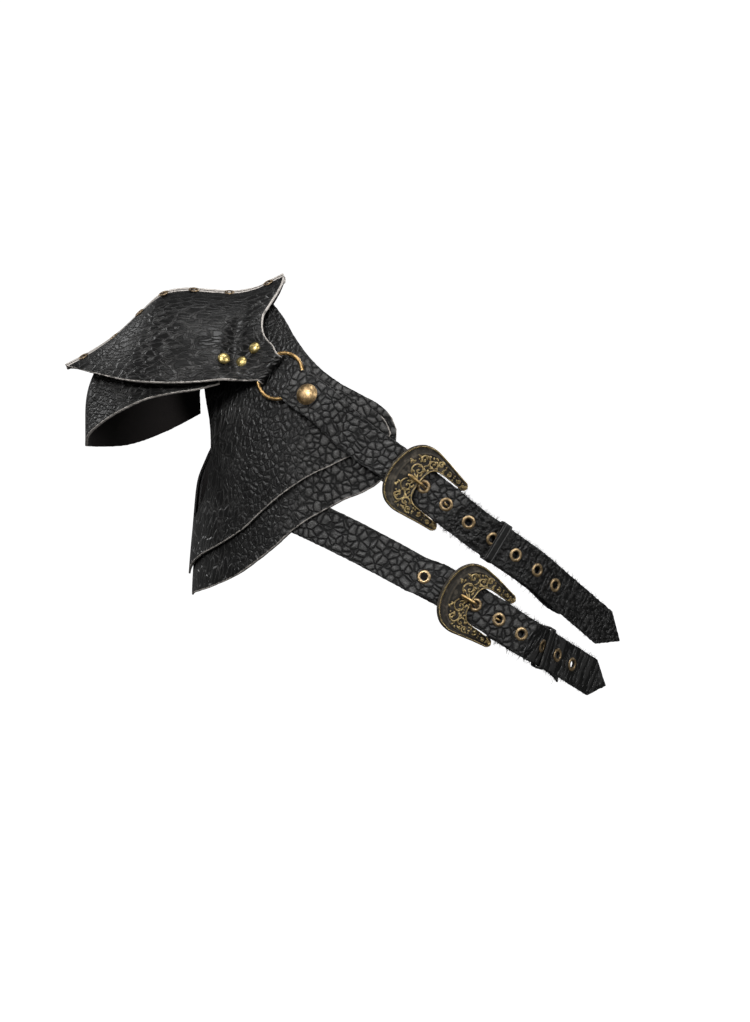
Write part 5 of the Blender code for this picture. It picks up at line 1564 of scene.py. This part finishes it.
def buckle_relief(name, route):
    """The raised gold work on the frame."""
    maker = bmesh.new()
    up = route.frame(route.bar)[1]
    rows = np.linspace(0.05, BUCKLE_LAST_ROW - 0.05, 1200)
    rim = buckle_field(rows)
    plan = rim[:, :2] + (rim[:, 2:] - rim[:, :2]) * 0.935
    points = np.array([on_buckle(route, along, side, 0.34) for along, side in plan])
    run = run_lengths(points)

    def on_rim(place):
        return np.array([np.interp(place, run, points[:, axis]) for axis in range(3)])

    for place in np.linspace(0, run[-1], int(run[-1] / ROPE_PITCH)):
        way = unit(on_rim(min(place + 0.0006, run[-1])) - on_rim(max(place - 0.0006, 0)))
        slant = unit(way + unit(np.cross(up, way)) * 0.75)
        bead(maker, on_rim(place), ROPE_BEAD, (slant, np.cross(up, slant), up), 8, 5)
    middle = BUCKLE_LAST_ROW / 2
    flat = unit(np.cross(up, (1, 0, 0)))
    level = (flat, np.cross(up, flat), up)
    for hand in (-1, 1):
        for step in range(1, 9):
            row = middle + hand * step * 0.95
            wide = field_width(row)
            radius = (0.19 if wide > 0.012 else 0.21) * wide
            share = 0.40 + 0.09 * (-1) ** step
            turn = math.radians(60 * step * hand)
            vine(maker, route, scroll(row, share, radius, turn, hand * (-1) ** step), 0.00075)
            heart = on_buckle(route, *place_in_field(row, share), 0.42)
            bead(maker, heart, (0.0011, 0.0011, 0.0009), level, 10, 7)
            half_way = middle + hand * (step + 0.5) * 0.95
            if 0 < half_way < BUCKLE_LAST_ROW:
                for at, size in ((0.16, 0.0008), (0.40, 0.0007), (0.58, 0.0009)):
                    pearl = on_buckle(route, *place_in_field(half_way, at), 0.38)
                    bead(maker, pearl, (size, size, size), level, 8, 5)
            if wide > 0.014:
                for at, lean, along in LEAVES:
                    foot = place_in_field(row + along * hand, at)
                    leaf(maker, route, foot, turn + lean, 0.13 * wide, 0.0011)
        border = [place_in_field(row, 0.045) for row in np.linspace(middle, middle + hand * middle, 60)]
        points = [on_buckle(route, *spot, 0.44) for spot in border]
        rod(maker, points, [0.00060] * len(points), sides=6, up=up)
    fan = place_in_field(middle, 0.04)
    for degrees in (-62, -38, -15, 15, 38, 62):
        leaf(maker, route, fan + np.array([0.0030, 0.0]), math.radians(degrees), 0.0080, 0.0012)
    settle(piece_of(name + "_relief", maker), [], ["buckle_gold"])


def prong(name, route):
    """The prong: looped round the bar, up through the eyelet and onto the frame."""
    loop = BAR_RADIUS + TOUCH + PRONG_RADIUS
    plan = []
    for degrees in range(-30, -271, -15):
        angle = math.radians(degrees)
        plan.append((loop * math.cos(angle), BAR_HEIGHT + loop * math.sin(angle)))
    rest = BAR_HEIGHT + FRAME_ARCH + FRAME_THICKNESS + TOUCH + PRONG_RADIUS
    low = BAR_HEIGHT + loop
    hole = BAR_TO_EYELET
    plan += [(0.010, low), (0.020, low), (hole - 0.0030, low), (hole - 0.0018, low + 0.0008)]
    plan += [(hole + 0.0018, rest - 0.0015), (hole + 0.0036, rest + 0.0002), (hole + 0.008, rest + 0.0006)]
    plan += [(hole + 0.014, rest + 0.0002), (hole + 0.0195, rest - 0.0006)]
    fine = spline(plan, np.linspace(0, 1, 110))
    points = [route.at(route.bar - along, 0.0, lift) for along, lift in fine]
    radii = PRONG_RADIUS * np.interp(
        np.linspace(0, 1, 110), [0, 0.70, 0.80, 0.95, 1.0], [1.0, 1.0, 1.12, 1.2, 0.8]
    )
    maker = bmesh.new()
    rod(maker, points, radii, sides=12, up=route.frame(route.bar)[1])
    made = piece_of(name + "_bent", maker)
    settle(made, [name], ["prong_brass"])


def keeper(name, route):
    """A leather loop round the punched strap and the buckle strap."""
    low = BUCKLE_STRAP_LIFT - 6 * TOUCH
    high = STRAP_REST + STRAP_THICKNESS + EYELET_RISE + 3 * TOUCH
    half = STRAP_WIDTH / 2 + 3 * TOUCH
    centre = (low + high) / 2
    eyelet_place = KEEPER_EYELET * EYELET_PITCH - BAR_TO_EYELET
    flat = [eyelet_place - EYELET_RADIUS - TOUCH,
            eyelet_place + KEEPER_OFFSET + KEEPER_WIDTH / 2 + 2 * TOUCH]
    ends = [route.at(route.bar + step, 0.0, centre) for step in flat]
    share = (eyelet_place + KEEPER_OFFSET - flat[0]) / (flat[1] - flat[0])
    forward = unit(ends[1] - ends[0])
    side = sum(np.cross(*route.frame(route.bar + step)[1:]) for step in flat)
    side = unit(side - forward * forward.dot(side))
    up = np.cross(forward, side)
    middle = ends[0] + (ends[1] - ends[0]) * share
    wide, tall, corner = half + KEEPER_WALL, (high - low) / 2 + KEEPER_WALL, 0.0030
    outline = []
    for across, height, begin in ((1, 1, 0), (-1, 1, 90), (-1, -1, 180), (1, -1, 270)):
        for degrees in range(begin, begin + 91, 15):
            angle = math.radians(degrees)
            outline.append((across * (wide - corner) + corner * math.cos(angle),
                            height * (tall - corner) + corner * math.sin(angle)))
    outline.append(outline[0])
    fine = []
    for one, two in zip(outline, outline[1:]):
        reach = math.hypot(two[0] - one[0], two[1] - one[1])
        count = max(1, round(reach / 0.0016))
        fine += [tuple(a + (b - a) * step / count for a, b in zip(one, two)) for step in range(count)]
    fine.append(fine[0])
    places = np.linspace(-KEEPER_WIDTH / 2, KEEPER_WIDTH / 2, 11)
    points = np.array([
        [middle + side * across + up * height + forward * place for place in places]
        for across, height in fine
    ])
    made = hide(name + "_leather", [with_plain_lay(points, True)], KEEPER_WALL,
                wave=0.00012, rag=0.0001, belly=0.0002)
    settle(made, [name], ["keeper", "flesh", "dark_edge"])


def ring(route):
    """The wire ring that joins the shoulder plate to the upper strap."""
    point, normal, _ = route.frame(0.0)
    maker = bmesh.new()
    shade = shade_of(maker)
    matrix = standing(point + normal * RING_HEIGHT, normal)
    loops = []
    for turn in np.linspace(0, 2 * math.pi, 129)[:-1]:
        loop = []
        for angle in np.linspace(0, 2 * math.pi, 17)[:-1]:
            radius = RING_RADIUS + WIRE_RADIUS * math.cos(angle)
            place = (radius * math.cos(turn), radius * math.sin(turn), WIRE_RADIUS * math.sin(angle))
            vert = maker.verts.new(matrix @ Vector(place))
            vert[shade] = 0.0
            loop.append(vert)
        loops.append(loop)
    for one, two in zip(loops, loops[1:] + loops[:1]):
        joined(maker, two, one)
    bmesh.ops.recalc_face_normals(maker, faces=maker.faces)
    settle(piece_of("shoulder_ring_wire", maker), ["shoulder_ring"], ["ring_brass"])


def upper_start():
    """Stations of the upper strap's turn round the ring, and on towards the buckle."""
    half = STRAP_WIDTH / 2
    narrow = FOLD_WIDTH / 2
    lain = FOLD_LIFT + 2 * STRAP_THICKNESS + TOUCH
    over = STRAP_OVER_BAR + STRAP_THICKNESS
    top = FOLD_TOP + STRAP_THICKNESS
    radius = WIRE_RADIUS + TOUCH + STRAP_THICKNESS
    start = [(RETURN_END, FOLD_LIFT, half * 0.95), (0.030, FOLD_LIFT, half * 0.95)]
    start += turn_round(FOLD_PLACE, RING_HEIGHT, radius, range(-90, 91, 12), narrow)
    start += [(LOOP_START, top, half * 0.97), (LOOP_END, top, half)]
    start += evenly(LOOP_END, LOOP_END + LOOP_FALL, top, lain, half, 0.003)
    start += evenly(LOOP_END + LOOP_FALL, RETURN_END + 0.001, lain, lain, half)
    start += evenly(RETURN_END + 0.001, RETURN_END + 0.016, lain, over, half, 0.003)
    return start


def body_pieces():
    """Make every piece of the armour."""
    random.seed(7)
    shoulder_plates(UPPER)
    arm_plates(UPPER)
    outer = (OUTER_ARMHOLE, OUTER_NECK, OUTER_HEM, OUTER_LIFT + PANEL_THICKNESS, OUTER_SPREAD)
    under = (UNDER_ARMHOLE, UNDER_NECK, UNDER_HEM, UNDER_LIFT + PANEL_THICKNESS, 0.0)
    for side, back in (("chest", False), ("back", True)):
        panel(side + "_panel_outer", *outer, back)
        panel(side + "_panel_under", *under, back)
    ring(UPPER)

    half = STRAP_WIDTH / 2
    over = STRAP_OVER_BAR + STRAP_THICKNESS
    punched_strap("upper_strap", UPPER, upper_start(), 7, 0, UPPER_FREE_END, "upper_strap")
    _, normal, forward = UPPER.frame(RIVET_PLACE)
    lift = FOLD_TOP + STRAP_THICKNESS - 0.0004
    stud("strap_rivet", (UPPER.at(RIVET_PLACE, 0.0, lift), unit(normal + forward * 0.12)),
         lift - FOLD_LIFT - TOUCH, "rivet_bronze", (RIVET_RADIUS, RIVET_HEIGHT), 0.0011)

    hidden = LOWER.where(LOWER_STRAP_START)
    rise = LOWER.where(LOWER_RISE_START)
    start = [(hidden, STRAP_THICKNESS, half)]
    start += evenly(hidden, rise, STRAP_THICKNESS, STRAP_THICKNESS, half)
    start += evenly(rise, LOWER.bar - BUCKLE_LENGTH, STRAP_THICKNESS, over, half)
    punched_strap("lower_strap", LOWER, start, 8, -2, LOWER_FREE_END, "lower_strap")

    upper_end = UPPER.length - 0.022
    buckle_strap("upper_buckle_strap", UPPER, upper_end, FOLD_LIFT)
    for number, back_from_end in enumerate((0.012, 0.034), 1):
        spot = (UPPER.at(upper_end - back_from_end, 0.0, FOLD_LIFT + BUCKLE_STRAP_THICKNESS),
                UPPER.frame(upper_end - back_from_end)[1])
        stud(f"back_rivet_{number}", spot, BUCKLE_STRAP_THICKNESS)
    buckle_strap("lower_buckle_strap", LOWER, LOWER.length - hidden, 0.0)
    for name, route in (("upper", UPPER), ("lower", LOWER)):
        buckle(name + "_buckle", route)
        prong(name + "_prong", route)
        keeper(name + "_keeper", route)


# The studio


def studio():
    """A pale floor and backdrop, soft lights, and the camera at the photo's distance."""
    scene = bpy.context.scene
    scene.view_settings.view_transform = "Standard"
    world = bpy.data.worlds.new("soft_room")
    scene.world = world
    world.use_nodes = True
    world.node_tree.nodes["Background"].inputs["Color"].default_value = (1.0, 1.0, 1.0, 1.0)
    world.node_tree.nodes["Background"].inputs["Strength"].default_value = ROOM_LIGHT

    pale = Finish("pale_floor")
    across, fore, _ = pale.parts(pale.place)
    cloud = pale.mottle(1.5, None, 2.0)
    away = (across * across + fore * fore).step(0.10, 0.80)
    pale.set(Base_Color=pale.blend(cloud, (0.80, 0.80, 0.80), (0.84, 0.84, 0.84)), Roughness=0.9,
             Emission_Color=pale.blend(away, (0.0, 0.0, 0.0), (1.0, 1.0, 1.0)), Emission_Strength=0.95)
    profile = [(radius, level, 0.0) for radius, level in ROOM]
    floor = turned("floor_and_backdrop", profile, ((0.0, 0.0, 0.0), (0.0, 0.0, 1.0)), ROOM_SIDES)
    floor.data.materials.append(pale.material)
    floor.visible_diffuse = False
    floor.visible_glossy = False

    for name, place, size, power, aim in LIGHTS:
        lamp = bpy.data.lights.new(name, "AREA")
        lamp.size = size
        lamp.energy = power
        light = bpy.data.objects.new(name, lamp)
        light.visible_camera = False
        scene.collection.objects.link(light)
        light.location = place
        light.rotation_euler = (Vector(aim) - Vector(place)).to_track_quat("-Z", "Y").to_euler()

    view = bpy.data.cameras.new("photo_view")
    view.sensor_width = 36.0
    view.lens = CAMERA_LENS
    view.clip_end = 60.0
    camera = bpy.data.objects.new("photo_view", view)
    scene.collection.objects.link(camera)
    camera.location = CAMERA_PLACE
    camera.rotation_euler = (math.radians(90), 0.0, 0.0)
    scene.camera = camera


body_pieces()
studio()
